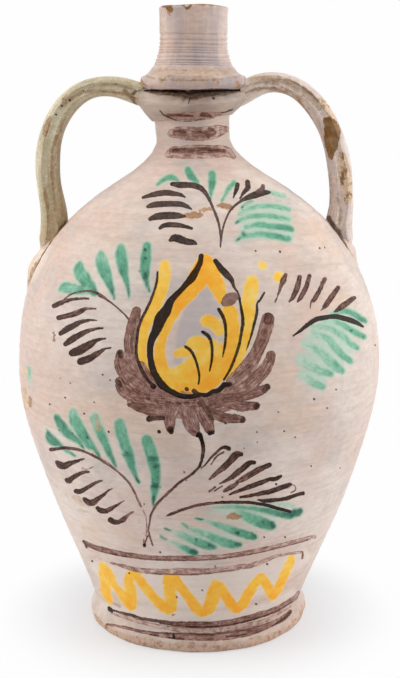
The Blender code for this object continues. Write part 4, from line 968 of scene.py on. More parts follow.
def brush_line(stroke):
    """A stroke's points (x, y, width, load, length so far) on a smooth curve through the ones read."""
    load, *points = stroke
    first, last = load if isinstance(load, tuple) else (load, load)
    knots = np.array(points, float)
    ends = np.vstack([2.0 * knots[0] - knots[1], knots, 2.0 * knots[-1] - knots[-2]])
    t = np.linspace(0.0, 1.0, CURVE_STEPS, endpoint=False)[:, None]
    runs = []
    for a, b, c, d in zip(ends, ends[1:], ends[2:], ends[3:]):
        even = 2.0 * b + (c - a) * t
        bend = (2.0 * a - 5.0 * b + 4.0 * c - d) * t**2
        runs.append(0.5 * (even + bend + (3.0 * b - a - 3.0 * c + d) * t**3))
    line = np.vstack(runs + [knots[-1:]])
    line[:, 2] = np.maximum(line[:, 2], LEAST_WIDTH)
    far = way_along(line[:, :2])
    share = far / max(far[-1], 1e-6)
    return np.column_stack([line, first + (last - first) * share, far])


def stroke_reach(places, line):
    """For each place: distance inside the stroke's edge, half width, load, and place across and along it."""
    start, run = line[:-1, :2], np.diff(line[:, :2], axis=0)
    gap = places[:, None, :] - start
    share = np.clip((gap * run).sum(2) / np.maximum((run**2).sum(1), 1e-9), 0.0, 1.0)
    off = gap - share[..., None] * run
    far = np.sqrt((off**2).sum(2))
    half = 0.5 * (line[:-1, 2] + share * np.diff(line[:, 2]))
    best = (far - half).argmin(1)
    rows = np.arange(len(places))
    share, far, half, off = share[rows, best], far[rows, best], half[rows, best], off[rows, best]
    side = np.sign(run[best, 0] * off[:, 1] - run[best, 1] * off[:, 0])
    load = line[best, 3] + share * np.diff(line[:, 3])[best]
    along = line[best, 4] + share * np.diff(line[:, 4])[best]
    return half - far, half, load, side * far, along


BRUSH_LINES = {
    pigment: [brush_line(stroke) for motif in motifs for stroke in motif]
    for pigment, motifs in MOTIFS.items()
}


def painted(places):
    """Distance (mm) and load of each pigment at pixels, the brush's streaks, and where the mesh is finer.

    The strokes lie on each other in the order they were painted, and each dries thicker at its own edge.
    """
    reach = {pigment: np.full(len(places), -REACH_LIMIT) for pigment in MOTIFS}
    load = {pigment: np.zeros(len(places)) for pigment in MOTIFS}
    streak = np.zeros((len(places), 3))
    fine = np.zeros(len(places), bool)
    margin = REACH_LIMIT / MM_PER_PIXEL
    for pigment, lines in BRUSH_LINES.items():
        for number, line in enumerate(lines):
            spare = margin + 0.5 * line[:, 2].max()
            near = (places[:, 0] > line[:, 0].min() - spare) & (places[:, 0] < line[:, 0].max() + spare)
            near &= (places[:, 1] > line[:, 1].min() - spare) & (places[:, 1] < line[:, 1].max() + spare)
            near = np.flatnonzero(near)
            if not len(near):
                continue
            inside, half, thick, across, along = stroke_reach(places[near], line)
            inside = inside * MM_PER_PIXEL
            before = reach[pigment][near]
            under = load[pigment][near]
            covered = before > 0.0
            pool = np.exp(-(((inside - POOL_PLACE) / POOL_WIDTH) ** 2))
            edge = POOLING.get(pigment, 0.0) * (POOL_BASE + thick) * pool
            deposit = thick + edge + LAP_LOAD * covered
            cover = np.where(covered, smoothstep(-BRUSH_SOFT, BRUSH_SOFT, inside), inside > before)
            load[pigment][near] = under + (deposit - under) * cover
            reach[pigment][near] = np.maximum(before, inside)
            mark = np.column_stack([across, along, np.full(len(near), STREAK_STEP * number)]) * MM_PER_PIXEL
            wins = (inside > before) | (inside > 0.0)
            streak[near[wins]] = mark[wins]
            if pigment in CRISP:
                fine[near] |= np.abs(inside) < FINE_REACH
            if pigment not in SOFT:
                fine[near] |= (half < THIN_HALF) & (inside > -FINE_REACH)
    return reach, load, streak, fine


def facing(places, normals):
    """How squarely each place faces the photograph's camera: 1 is straight on, 0 is edge-on."""
    toward = np.array([CAMERA_X, -CAMERA_DISTANCE, CAMERA_HEIGHT]) - places
    toward /= np.linalg.norm(toward, axis=1)[:, None]
    return (toward * normals).sum(1)


def seen_from_front(places, normals, least):
    return (facing(places, normals) > least) & (places[:, 1] < BACK_LIMIT)


def refine_under_brush(shape, cuts):
    """Subdivides the faces that lie under thin strokes and crisp edges."""
    shape.normal_update()
    centres = np.array([face.calc_center_median() for face in shape.faces])
    normals = np.array([face.normal for face in shape.faces])
    leaning_places = centres.copy()
    leaning_places[:, 0] += drift(centres[:, 2])
    seen = np.flatnonzero(seen_from_front(leaning_places, normals, FINE_FACING))
    fine = painted(photo_places(leaning_places[seen]))[3]
    shape.faces.ensure_lookup_table()
    edges = {edge for index in seen[fine] for edge in shape.faces[index].edges}
    if edges:
        bmesh.ops.subdivide_edges(shape, edges=list(edges), cuts=cuts, use_grid_fill=True)


def read_vectors(mesh, field):
    values = np.empty(len(mesh.vertices) * 3)
    mesh.vertices.foreach_get(field, values)
    return values.reshape(-1, 3)


def write_vectors(mesh, name, values):
    mesh.attributes.new(name, "FLOAT_VECTOR", "POINT").data.foreach_set("vector", values.ravel())


def paint(piece):
    """Writes the pigments' distances and loads on a piece as attributes that its glaze reads.

    Gives the distances of the bare clay, and the vertices that they belong to.
    """
    mesh = piece.data
    places, normals = read_vectors(mesh, "co"), read_vectors(mesh, "normal")
    seen = np.flatnonzero(seen_from_front(places, normals, PAINT_FACING))
    reach, load, streak, _ = painted(photo_places(places[seen]))
    # Beside a handle's foot, the painted shade and stains stop on the body's flank
    flank = facing(places[seen], normals[seen]) < FLANK_FACING
    flank &= (np.abs(places[seen, 0]) > FLANK_REACH) & (places[seen, 2] > FLANK_FOOT)
    beside_foot = (places[seen, 1] + FOOT_SHADE_AND_STAIN_REACH) * MM
    for pigment in ("stain_and_shade", "slate"):
        reach[pigment] = np.where(flank, np.minimum(reach[pigment], beside_foot), reach[pigment])
    for pigment in MOTIFS:
        values = np.zeros(places.shape)
        values[:, 0] = -REACH_LIMIT
        values[seen, 0] = reach[pigment]
        values[seen, 1] = load[pigment]
        write_vectors(mesh, pigment, values)
    values = np.zeros(places.shape)
    values[seen] = streak
    write_vectors(mesh, "streak", values)
    return reach["bare"], seen


# Glazes


def tone(red, green, blue):
    """A colour as it looks on the photograph, 0 to 255, made scene linear."""
    colour = Color((red / 255.0, green / 255.0, blue / 255.0)).from_srgb_to_scene_linear()
    return (colour.r, colour.g, colour.b, 1.0)


class Mixer:
    """A material while it is mixed, with short ways to add the nodes that every glaze uses."""

    def __init__(self, name, tree=None):
        self.material = None
        if tree is None:
            self.material = bpy.data.materials.new(name)
            self.material.use_nodes = True
            tree = self.material.node_tree
        self.tree = tree
        self.tree.nodes.clear()
        self.place = self.add("ShaderNodeTexCoord").outputs["Object"]

    def add(self, kind, sockets=(), **settings):
        node = self.tree.nodes.new(kind)
        for key, value in settings.items():
            setattr(node, key, value)
        for key, value in dict(sockets).items():
            if isinstance(value, bpy.types.NodeSocket):
                self.tree.links.new(value, node.inputs[key])
            else:
                node.inputs[key].default_value = value
        return node

    def seen_background(self):
        """1 for the rays that see the backdrop itself: the camera's, and those mirrored or let through."""
        rays = self.add("ShaderNodeLightPath").outputs
        direct = self.calc("MAXIMUM", rays["Is Camera Ray"], rays["Is Glossy Ray"])
        return self.calc("MAXIMUM", direct, rays["Is Transmission Ray"])

    def attribute(self, name):
        """The three numbers of a vector attribute."""
        node = self.add("ShaderNodeAttribute", attribute_name=name)
        return self.add("ShaderNodeSeparateXYZ", {0: node.outputs["Vector"]}).outputs

    def calc(self, operation, first, second, clamp=False):
        node = self.add("ShaderNodeMath", {0: first, 1: second}, operation=operation, use_clamp=clamp)
        return node.outputs[0]

    def ramp(self, value, low, high, start=0.0, end=1.0):
        sockets = {"Value": value, "From Min": low, "From Max": high, "To Min": start, "To Max": end}
        return self.add("ShaderNodeMapRange", sockets, interpolation_type="SMOOTHSTEP").outputs[0]

    def level(self, value, low, high, start=0.0, end=1.0):
        sockets = {"Value": value, "From Min": low, "From Max": high, "To Min": start, "To Max": end}
        return self.add("ShaderNodeMapRange", sockets).outputs[0]

    def blend(self, share, first, second, mode="MIX"):
        node = self.add("ShaderNodeMix", {0: share, 6: first, 7: second}, data_type="RGBA", blend_type=mode)
        return node.outputs[2]

    def noise(self, scale, detail=3.0, rough=0.5, stretch=(1.0, 1.0, 1.0), offset=0.0, vector=None):
        """Even noise, 0 to 1, in features of about 1 / scale metres."""
        place = self.add(
            "ShaderNodeMapping",
            {"Vector": vector or self.place, "Location": (offset, offset, offset), "Scale": stretch},
        ).outputs[0]
        sockets = {"Vector": place, "Scale": scale, "Detail": detail, "Roughness": rough}
        return self.add("ShaderNodeTexNoise", sockets).outputs[0]

    def specks(self, scale, size):
        """Scattered dots, 1 in their middles, that only some cells have."""
        cells = self.add("ShaderNodeTexVoronoi", {"Vector": self.place, "Scale": scale})
        chance = self.add("ShaderNodeSeparateColor", {0: cells.outputs["Color"]}).outputs[0]
        dot = self.ramp(cells.outputs["Distance"], 0.3 * size, size, 1.0, 0.0)
        return self.calc("MULTIPLY", dot, self.ramp(chance, 0.70, 0.72))


def glaze_base(mix, colours, kind):
    """Tin glaze over clay: clouds of three tones, lines of the wheel or the pull, mottling and pinholes."""
    pale, warm, grey, iron = colours
    colour = mix.blend(mix.ramp(mix.noise(13.0, 4.0, 0.55), 0.36, 0.64), pale, warm)
    colour = mix.blend(mix.ramp(mix.noise(22.0, 4.0, 0.6, offset=3.7), 0.48, 0.70, 0.0, 0.8), colour, grey)
    if kind == "thrown":
        blush = mix.noise(8.0, 5.0, 0.6, stretch=(1.0, 1.0, 2.4), offset=8.1)
        colour = mix.blend(mix.ramp(blush, 0.52, 0.70, 0.0, 0.45), colour, tone(228, 194, 166))
    if kind == "pulled":
        pull = mix.add("ShaderNodeAttribute", attribute_name="pull").outputs["Vector"]
        lines = mix.noise(0.55, 4.0, 0.6, stretch=(1.0, 1.0, 0.05), vector=pull)
        colour = mix.blend(mix.ramp(lines, 0.44, 0.70, 0.0, 0.55), colour, iron)
        mottle = mix.ramp(mix.noise(150.0, 5.0, 0.7, offset=4.0), 0.48, 0.66, 0.0, 0.5)
        colour = mix.blend(mottle, colour, grey)
        flecks = mix.ramp(mix.noise(420.0, 3.0, 0.7, offset=2.0), 0.54, 0.66, 0.0, 0.55)
        colour = mix.blend(flecks, colour, tone(234, 226, 212))
        grit = mix.ramp(mix.noise(300.0, 4.0, 0.7, offset=6.0), 0.57, 0.70, 0.0, 0.5)
        colour = mix.blend(grit, colour, tone(132, 112, 86))
    elif kind == "drips":
        lines = mix.noise(60.0, 5.0, 0.65, stretch=(1.0, 1.0, 0.16), offset=1.9)
        colour = mix.blend(mix.ramp(lines, 0.40, 0.66, 0.0, 0.6), colour, iron)
        mottle = mix.noise(190.0, 5.0, 0.7, stretch=(1.0, 1.0, 2.0), offset=4.0)
        colour = mix.blend(mix.ramp(mottle, 0.46, 0.66, 0.0, 0.5), colour, grey)
    else:
        lines = mix.noise(26.0, 4.0, 0.6, stretch=(1.0, 1.0, 9.0), offset=1.9)
        colour = mix.blend(mix.ramp(lines, 0.48, 0.74, 0.0, 0.5), colour, iron)
    turned = mix.noise(13.0, 5.0, 0.6, stretch=(1.0, 1.0, 26.0), offset=4.4)
    fine = mix.noise(150.0, 5.0, 0.65, stretch=(1.0, 1.0, 2.5))
    light = mix.level(fine, 0.25, 0.75, 0.88, 1.09)
    light = mix.calc("MULTIPLY", light, mix.level(turned, 0.3, 0.7, 0.95, 1.04))
    tint = mix.add("ShaderNodeCombineColor", {0: light, 1: light, 2: light}).outputs[0]
    colour = mix.blend(1.0, colour, tint, "MULTIPLY")
    dots = mix.specks(120.0, 0.075)
    colour = mix.blend(mix.calc("MULTIPLY", dots, 0.5), colour, tone(140, 112, 92))
    return colour, lines, dots


class Pigment(NamedTuple):
    """How one pigment looks. Lengths are in mm."""

    name: str
    tones: tuple  # thin, middle and thick
    wobble: tuple  # scale and size of its edge's unevenness
    soft: float = 0.15  # half width of its edge
    shrink: float = 0.0  # how far inside the brush's outline it stays
    halo: float = 0.0  # how far it bleeds into the glaze
    fade: float = 0.0  # load under which the glaze shows through
    strength: float = 0.97
    streaks: float = 0.12  # how unevenly single bristles lay it
    pools: tuple = (210.0, 0.13)  # scale and size of its uneven drying
    full: float = 1.0  # load at which it is thickest
    bristles: float = 0.0  # how far single bristles run past its edge


PIGMENTS = (
    # Pale glaze patches, mostly painted light on glaze that the lamps leave dim
    Pigment(
        "pale", (tone(232, 216, 202), tone(238, 224, 212), tone(244, 232, 220)), (90.0, 1.2),
        soft=2.6, shrink=0.4, fade=0.5, strength=0.62, streaks=0.05,
    ),
    Pigment(
        "haze", (tone(210, 196, 188), tone(194, 182, 180), tone(180, 170, 174)), (90.0, 1.0),
        soft=2.2, shrink=0.6, strength=0.75, streaks=0.05,
    ),
    # Stains in the glaze, and painted shade under the collar, at the handles' joints and over the handles
    Pigment(
        "stain_and_shade", (tone(200, 168, 134), tone(146, 112, 80), tone(60, 40, 26)), (260.0, 0.9),
        soft=0.75, fade=0.3, strength=0.85, streaks=0.1, pools=(300.0, 0.2),
    ),
    Pigment(
        "yellow", (tone(250, 224, 150), tone(255, 204, 78), tone(255, 172, 44)), (240.0, 0.5),
        soft=0.95, shrink=-0.25, halo=1.4, streaks=0.18, pools=(120.0, 0.24),
    ),
    Pigment(
        "wash", (tone(192, 214, 196), tone(168, 204, 184), tone(130, 186, 160)), (140.0, 1.0),
        soft=1.9, fade=0.25, strength=0.75, streaks=0.1,
    ),
    Pigment(
        "green", (tone(188, 214, 194), tone(104, 172, 140), tone(18, 90, 72)), (200.0, 0.36),
        soft=1.3, shrink=0.4, halo=2.6, fade=0.24, strength=0.95, streaks=0.15, pools=(130.0, 0.2),
    ),
    Pigment(
        "rust", (tone(200, 162, 124), tone(170, 126, 84), tone(126, 82, 50)), (330.0, 0.8),
        soft=0.35, fade=0.2, strength=0.9, streaks=0.16, pools=(300.0, 0.2),
    ),
    Pigment(
        "brown", (tone(204, 170, 158), tone(136, 94, 82), tone(46, 18, 8)), (480.0, 0.16),
        soft=0.17, fade=0.12, streaks=0.34, pools=(230.0, 0.24), full=0.95, bristles=0.26,
    ),
    # Dark strokes and pits; also painted shade in the gap under the collar, under the neck band and at the
    # handles' joints
    Pigment(
        "slate", (tone(156, 122, 108), tone(94, 70, 62), tone(26, 12, 8)), (520.0, 0.14),
        streaks=0.16, pools=(260.0, 0.22), full=0.92, bristles=0.1,
    ),
)


def pigment_layer(mix, colour, kind):
    """One pigment over what lies under it: an uneven edge, a bleeding halo and the streaks of the brush."""
    thin, middle, thick = kind.tones
    inside, load, _ = mix.attribute(kind.name)
    wobble = mix.ramp(mix.noise(kind.wobble[0], 3.0, 0.6), 0.25, 0.75, -kind.wobble[1], kind.wobble[1])
    inside = mix.calc("SUBTRACT", mix.calc("ADD", inside, wobble), kind.shrink)
    hairs = mix.add("ShaderNodeAttribute", attribute_name="streak").outputs["Vector"]
    bristle = mix.noise(1.3, 3.0, 0.65, stretch=(1.5, 0.11, 1.0), vector=hairs)
    if kind.bristles:
        inside = mix.calc("ADD", inside, mix.level(bristle, 0.35, 0.65, -kind.bristles, kind.bristles))
    cover = mix.calc("MULTIPLY", mix.ramp(inside, -kind.soft, kind.soft), kind.strength)
    amount = mix.calc("ADD", load, mix.level(bristle, 0.3, 0.7, -kind.streaks, kind.streaks))
    pools = mix.level(mix.noise(kind.pools[0], 4.0, 0.65), 0.3, 0.7, -kind.pools[1], kind.pools[1])
    amount = mix.calc("ADD", amount, pools, clamp=True)
    body = mix.blend(mix.level(amount, 0.0, 0.5 * kind.full), thin, middle)
    body = mix.blend(mix.level(amount, 0.5 * kind.full, kind.full), body, thick)
    if kind.fade:
        cover = mix.calc("MULTIPLY", cover, mix.level(amount, -0.5 * kind.fade, kind.fade))
    if kind.halo:
        fringe = mix.calc("MULTIPLY", mix.ramp(inside, -kind.halo, 0.2), mix.level(load, 0.0, 0.6, 0.15, 0.6))
        colour = mix.blend(fringe, colour, thin)
    return mix.blend(cover, colour, body)


CHIPPED_CLAY = (tone(232, 204, 176), tone(134, 94, 50))
FOOT_CLAY = (tone(218, 184, 160), tone(150, 108, 78))
GLAZE_EDGE = 0.0075  # height at which the glaze ends above the foot


def bare_clay(mix, tones, load):
    """Colour and grain of clay without glaze: pale and speckled where rubbed, darker where chipped."""
    pale, dark = tones
    grain = mix.noise(560.0, 4.0, 0.7)
    patches = mix.noise(110.0, 5.0, 0.65, offset=5.0)
    rubbed = mix.ramp(mix.noise(230.0, 5.0, 0.8, offset=9.0), 0.46, 0.64, 0.0, 0.85)
    chipped = mix.ramp(patches, 0.32, 0.68, 1.0, 0.74)
    share = mix.blend(mix.ramp(load, 0.55, 0.9), rubbed, chipped)
    colour = mix.blend(share, pale, dark)
    return mix.blend(mix.ramp(grain, 0.55, 0.75, 0.0, 0.4), colour, tone(92, 64, 42)), grain


def painted_glaze(name, colours, kind="thrown", clay=CHIPPED_CLAY, clay_below=0.0):
    """Glaze with the painting in it, and bare clay where it is chipped and at the foot below a height."""
    mix = Mixer(name)
    colour, lines, dots = glaze_base(mix, colours, kind)
    for pigment in PIGMENTS:
        colour = pigment_layer(mix, colour, pigment)
    chipped, load, _ = mix.attribute("bare")
    ragged = mix.ramp(mix.noise(420.0, 4.0, 0.65), 0.2, 0.8, -0.6, 0.6)
    bare = mix.ramp(mix.calc("ADD", chipped, ragged), -0.12, 0.12)
    if clay_below:
        height = mix.add("ShaderNodeSeparateXYZ", {0: mix.place}).outputs[2]
        edge = mix.ramp(mix.noise(70.0, 5.0, 0.65, offset=2.2), 0.2, 0.8, -0.0035, 0.0035)
        low = mix.ramp(mix.calc("ADD", height, edge), clay_below - 0.0012, clay_below + 0.0012, 1.0, 0.0)
        bare = mix.calc("MAXIMUM", bare, mix.calc("MULTIPLY", low, 0.85))
    body, grain = bare_clay(mix, clay, load)
    colour = mix.blend(bare, colour, body)
    peel = mix.calc("MULTIPLY", mix.noise(260.0, 3.0, 0.5), 0.3)
    height = mix.calc("ADD", peel, mix.calc("MULTIPLY", lines, 0.8))
    height = mix.calc("SUBTRACT", height, mix.calc("MULTIPLY", dots, 0.8))
    height = mix.calc("SUBTRACT", height, mix.calc("MULTIPLY", bare, mix.ramp(grain, 0.2, 0.8, 0.7, 1.3)))
    bump = mix.add("ShaderNodeBump", {"Height": height, "Strength": 0.6, "Distance": 0.0005})
    rough = mix.ramp(bare, 0.0, 1.0, 0.45, 0.85)
    shader = mix.add(
        "ShaderNodeBsdfPrincipled",
        {"Base Color": colour, "Roughness": rough, "Normal": bump.outputs[0], "Specular IOR Level": 0.07},
    )
    mix.add("ShaderNodeOutputMaterial", {"Surface": shader.outputs[0]})
    return mix.material


# Settings


class JarSizes(bpy.types.PropertyGroup):
    """Sizes of the jar's surface that a potter would change."""

    relief_scale: bpy.props.FloatProperty(
        name="Throwing relief", description="How strongly the throwing lines and swells show", default=1.0,
        min=0.0, max=3.0, subtype="FACTOR",
    )
    groove_depth: bpy.props.FloatProperty(
        name="Groove depth", description="Depth of the grooves round the spout", default=0.0006, unit="LENGTH"
    )
    chip_depth: bpy.props.FloatProperty(
        name="Chip depth", description="How deep the glaze is chipped off", default=0.0006, unit="LENGTH"
    )
    grip_groove: bpy.props.FloatProperty(
        name="Handle groove", description="Depth of the groove along a handle's front and back",
        default=0.0013, unit="LENGTH",
    )


GLAZE_COLOUR = {"subtype": "COLOR", "size": 4, "min": 0.0, "max": 1.0}


class JarColours(bpy.types.PropertyGroup):
    """Glaze colours of the jar, as scene linear colours."""

    cream: bpy.props.FloatVectorProperty(
        name="Cream glaze", description="Palest tone of the body's glaze",
        default=tone(228, 212, 201), **GLAZE_COLOUR,
    )
    pink: bpy.props.FloatVectorProperty(
        name="Pink glaze", description="Warm tone of the body's glaze",
        default=tone(219, 194, 181), **GLAZE_COLOUR,
    )
    grey: bpy.props.FloatVectorProperty(
        name="Grey glaze", description="Cool tone of the body's glaze",
        default=tone(201, 189, 182), **GLAZE_COLOUR,
    )
    iron: bpy.props.FloatVectorProperty(
        name="Iron stain", description="Tan that shows through in the throwing lines",
        default=tone(204, 180, 160), **GLAZE_COLOUR,
    )
    olive: bpy.props.FloatVectorProperty(
        name="Olive glaze", description="Glaze of the left handle",
        default=tone(196, 182, 146), **GLAZE_COLOUR,
    )


def sizes():
    return bpy.context.scene.jar_sizes


def body_tones():
    colours = bpy.context.scene.jar_colours
    return tuple(tuple(c) for c in (colours.cream, colours.pink, colours.grey, colours.iron))


# Thrown pieces


def work_wall(shape, tucks):
    """Gives the outside of a spun wall its relief and its lean.

    It tucks under its neighbours at each (height, way), where the way is -1 for below and 1 for above.
    """
    places, radius, turn, height = round_axis(shape)
    outer = radius > outside_radius(height) - SKIN
    push = np.where(outer, sizes().relief_scale * relief(turn, height), 0.0)
    for level, way in tucks:
        past = np.maximum(way * (height - level), 0.0)
        push -= np.where(outer, TUCK * past**2, 0.0)
    push_out(places, radius, push, height)
    move_to(shape, places)


class JAR_OT_foot(bpy.types.Operator):
    """Foot ring with its rounded coil, bare at the edge it stands on"""

    bl_idname = "jar.foot"
    bl_label = "Foot ring"

    def execute(self, context):
        out = FOOT_RADIUS + FOOT_SWELL
        top = FOOT_HEIGHT + FOOT_LAP
        widest = (out, COIL_WIDEST)
        stand = (FOOT_RADIUS - 0.0008, 0.0)
        coil = curve((WAIST_RADIUS, top), (WAIST_RADIUS + 0.0006, 0.0110), (out, 0.0105), widest, 16)
        coil += curve(widest, (out, 0.0030), (FOOT_RADIUS + 0.0012, 0.0004), stand, 12)[1:]
        outline = evenly(coil, COIL_GRID)
        outline += evenly([outline[-1], (FOOT_BORE + FOOT_EDGE, 0.0)], 0.004)[1:]
        outline += [(FOOT_BORE, FOOT_EDGE), (FOOT_BORE, REBATE_FLOOR)]
        outline += [(FOOT_BORE + REBATE_WIDTH, REBATE_FLOOR), (FOOT_BORE + REBATE_WIDTH, top)]
        shape = thrown(outline, front_steps=230, back_steps=70, closed=True)
        refine_under_brush(shape, 1)
        places, radius, turn, height = round_axis(shape)
        outer = radius > FOOT_RADIUS - 0.002
        tuck = TUCK * np.maximum(height - FOOT_HEIGHT, 0.0) ** 2
        lumps = waves(turn, height, FOOT_LUMPS) * smoothstep(FOOT_HEIGHT, 0.5 * FOOT_HEIGHT, height)
        joined = relief(turn, height) * smoothstep(0.5 * FOOT_HEIGHT, FOOT_HEIGHT, height)
        push_out(places, radius, np.where(outer, lumps + joined - tuck, 0.0), height)
        move_to(shape, places)
        material = painted_glaze("thin_glaze_over_clay", body_tones(), clay=FOOT_CLAY, clay_below=GLAZE_EDGE)
        paint(as_piece("foot_ring_skin", shape, material, ["foot_ring"]))
        return {"FINISHED"}


class JAR_OT_lower_body(bpy.types.Operator):
    """Thrown bowl of the body up to the widest part of the belly"""

    bl_idname = "jar.lower_body"
    bl_label = "Lower body"

    def execute(self, context):
        seam = BELLY_HEIGHT
        outside = evenly([p for p in body_line() if p.y < seam + SEAM_LAP], GRID)
        inside = [p for p in evenly(inward(lower_line(), WALL), 0.012) if p[1] > FLOOR_TOP + 0.014]
        wall_foot = inside[0]
        corner = wall_foot[0] - 0.003
        wall_arm = (wall_foot[0] - 0.002, wall_foot[1] - 0.008)
        fillet = curve((corner - 0.016, FLOOR_TOP), (corner - 0.006, FLOOR_TOP), wall_arm, wall_foot, 5)
        floor_edge = FOOT_BORE + REBATE_WIDTH - SLIP
        outline = [(0.0, FLOOR_UNDERSIDE), (floor_edge, FLOOR_UNDERSIDE), (floor_edge, FOOT_HEIGHT + SLIP)]
        outline += outside + inside[::-1] + [tuple(p) for p in fillet[-2::-1]] + [(0.0, FLOOR_TOP)]
        shape = thrown(outline, front_steps=270, back_steps=64, closed=False)
        refine_under_brush(shape, 2)
        work_wall(shape, ((FOOT_HEIGHT + 0.0004, -1.0), (seam, 1.0)))
        material = painted_glaze("cream_tin_glaze", body_tones())
        paint(as_piece("lower_body_skin", shape, material, ["lower_body"]))
        return {"FINISHED"}


class JAR_OT_upper_body(bpy.types.Operator):
    """Upper half of the body, the shoulder and the waisted neck"""

    bl_idname = "jar.upper_body"
    bl_label = "Upper body and neck"

    def execute(self, context):
        seam = BELLY_HEIGHT
        outside = evenly([p for p in body_line() if p.y > seam - SEAM_LAP], GRID)
        inside = evenly(inward([p for p in body_line() if seam < p.y < NECK_HEIGHT], UPPER_WALL), INSIDE_GRID)
        inside = [p for p in inside if p[0] > THROAT_BORE + 0.0008]
        outline = outside + [(SOCKET_RADIUS, LIP_HEIGHT), (SOCKET_RADIUS, SOCKET_FOOT)]
        outline += [(THROAT_BORE, SOCKET_FOOT), (THROAT_BORE, NECK_HEIGHT)] + inside[::-1]
        shape = thrown(outline, front_steps=262, back_steps=60, closed=True)
        refine_under_brush(shape, 2)
        work_wall(shape, ((seam, -1.0),))
        material = painted_glaze("cream_tin_glaze_upper", body_tones())
        paint(as_piece("upper_body_skin", shape, material, ["upper_body", "neck"]))
        return {"FINISHED"}


def spout_outline():
    """Outside of the spout from the rim down to the collar's seat, with its grooves, and its bore."""
    depth = sizes().groove_depth
    top = (TUBE_RADIUS, SKIRT_TOP)
    foot = (COLLAR_RADIUS - 0.0012, COLLAR_TOP)
    skirt_arm = (foot[0] - SKIRT_SWEEP, foot[1] + SKIRT_CLIMB)
    skirt = curve(top, (TUBE_RADIUS, SKIRT_TOP - SKIRT_SWEEP), skirt_arm, foot, 60)
    tube = evenly([(TUBE_RADIUS, TUBE_TOP - 0.0064)] + [tuple(p) for p in skirt], TUBE_GRID)
    grooves = [height_of_row(row, TUBE_RADIUS) for row in GROOVE_ROWS]
    cut_tube = []
    for radius, height in tube:
        nearest = min(abs(height - groove) for groove in grooves)
        if height > COLLAR_TOP + 0.004:
            radius += 0.35 * depth - 1.35 * depth * math.exp(-((nearest / GROOVE_WIDTH) ** 2))
        cut_tube.append((radius, height))
    rim = curve(
        (BORE_RADIUS + 0.0012, TUBE_TOP - 0.0010),
        (BORE_RADIUS + 0.0022, TUBE_TOP),
        (TUBE_RADIUS - 0.0012, TUBE_TOP),
        (TUBE_RADIUS + 0.0005, TUBE_TOP - 0.0012),
        9,
    )
    rim += curve(
        rim[-1],
        (TUBE_RADIUS + 0.0009, TUBE_TOP - 0.0024),
        (TUBE_RADIUS + 0.0002, TUBE_TOP - 0.0050),
        cut_tube[0],
        8,
    )[1:-1]
    edge = curve(
        foot,
        (COLLAR_RADIUS + 0.0003, COLLAR_TOP - 0.0004),
        (COLLAR_RADIUS + 0.0003, COLLAR_SEAT + 0.0042),
        (COLLAR_RADIUS - 0.0010, COLLAR_SEAT + 0.0036),
        10,
    )[1:]
    seat = [(0.5 * (COLLAR_RADIUS + COLLAR_SEAT_RADIUS), COLLAR_SEAT + 0.0012)]
    seat += [(COLLAR_SEAT_RADIUS, COLLAR_SEAT)]
    spigot = [(SPIGOT_RADIUS, COLLAR_SEAT), (SPIGOT_RADIUS, SPIGOT_FOOT), (BORE_RADIUS, SPIGOT_FOOT)]
    bore = evenly([(BORE_RADIUS, SPIGOT_FOOT + 0.002), (BORE_RADIUS, TUBE_TOP - 0.0050)], 0.006)
    return [tuple(p) for p in rim] + cut_tube + [tuple(p) for p in edge] + seat + spigot + bore


class JAR_OT_spout(bpy.types.Operator):
    """Ridged pouring tube with its worn rim, flared skirt and drooping collar"""

    bl_idname = "jar.spout"
    bl_label = "Spout"

    def execute(self, context):
        shape = thrown(spout_outline(), front_steps=130, back_steps=60, closed=True)
        places, radius, turn, height = round_axis(shape)
        high = smoothstep(COLLAR_TOP - 0.010, COLLAR_TOP + 0.006, height)
        outer = radius > SPOUT_OUTSIDE
        droop = np.where(outer & (radius > DROOP_START), smoothstep(DROOP_START, COLLAR_RADIUS, radius), 0.0)
        push_out(places, radius, np.where(outer, waves(turn, height, SPOUT_LUMPS), 0.0), height)
        places[:, 2] += waves(turn, height, SKIRT_SWAY) * high * smoothstep(TUBE_TOP, 0.462, height)
        places[:, 2] += droop * waves(turn, height, COLLAR_DROOP)
        places[:, 2] += waves(turn, height, RIM_SWAY) * smoothstep(0.466, TUBE_TOP, height)
        places[:, 2] = np.minimum(places[:, 2], TUBE_TOP)
        for chip_turn, wide, deep in RIM_CHIPS:
            bite = np.exp(-(((turn - chip_turn) / wide) ** 2)) * smoothstep(0.4665, TUBE_TOP, height) * outer
            places[:, 2] -= deep * bite
        move_to(shape, places)
        tones = (tone(220, 204, 195), tone(220, 190, 171), tone(192, 178, 178), tone(164, 150, 154))
        material = painted_glaze("peach_tin_glaze_spout", tones, kind="drips")
        paint(as_piece("spout_skin", shape, material, ["spout"]))
        return {"FINISHED"}


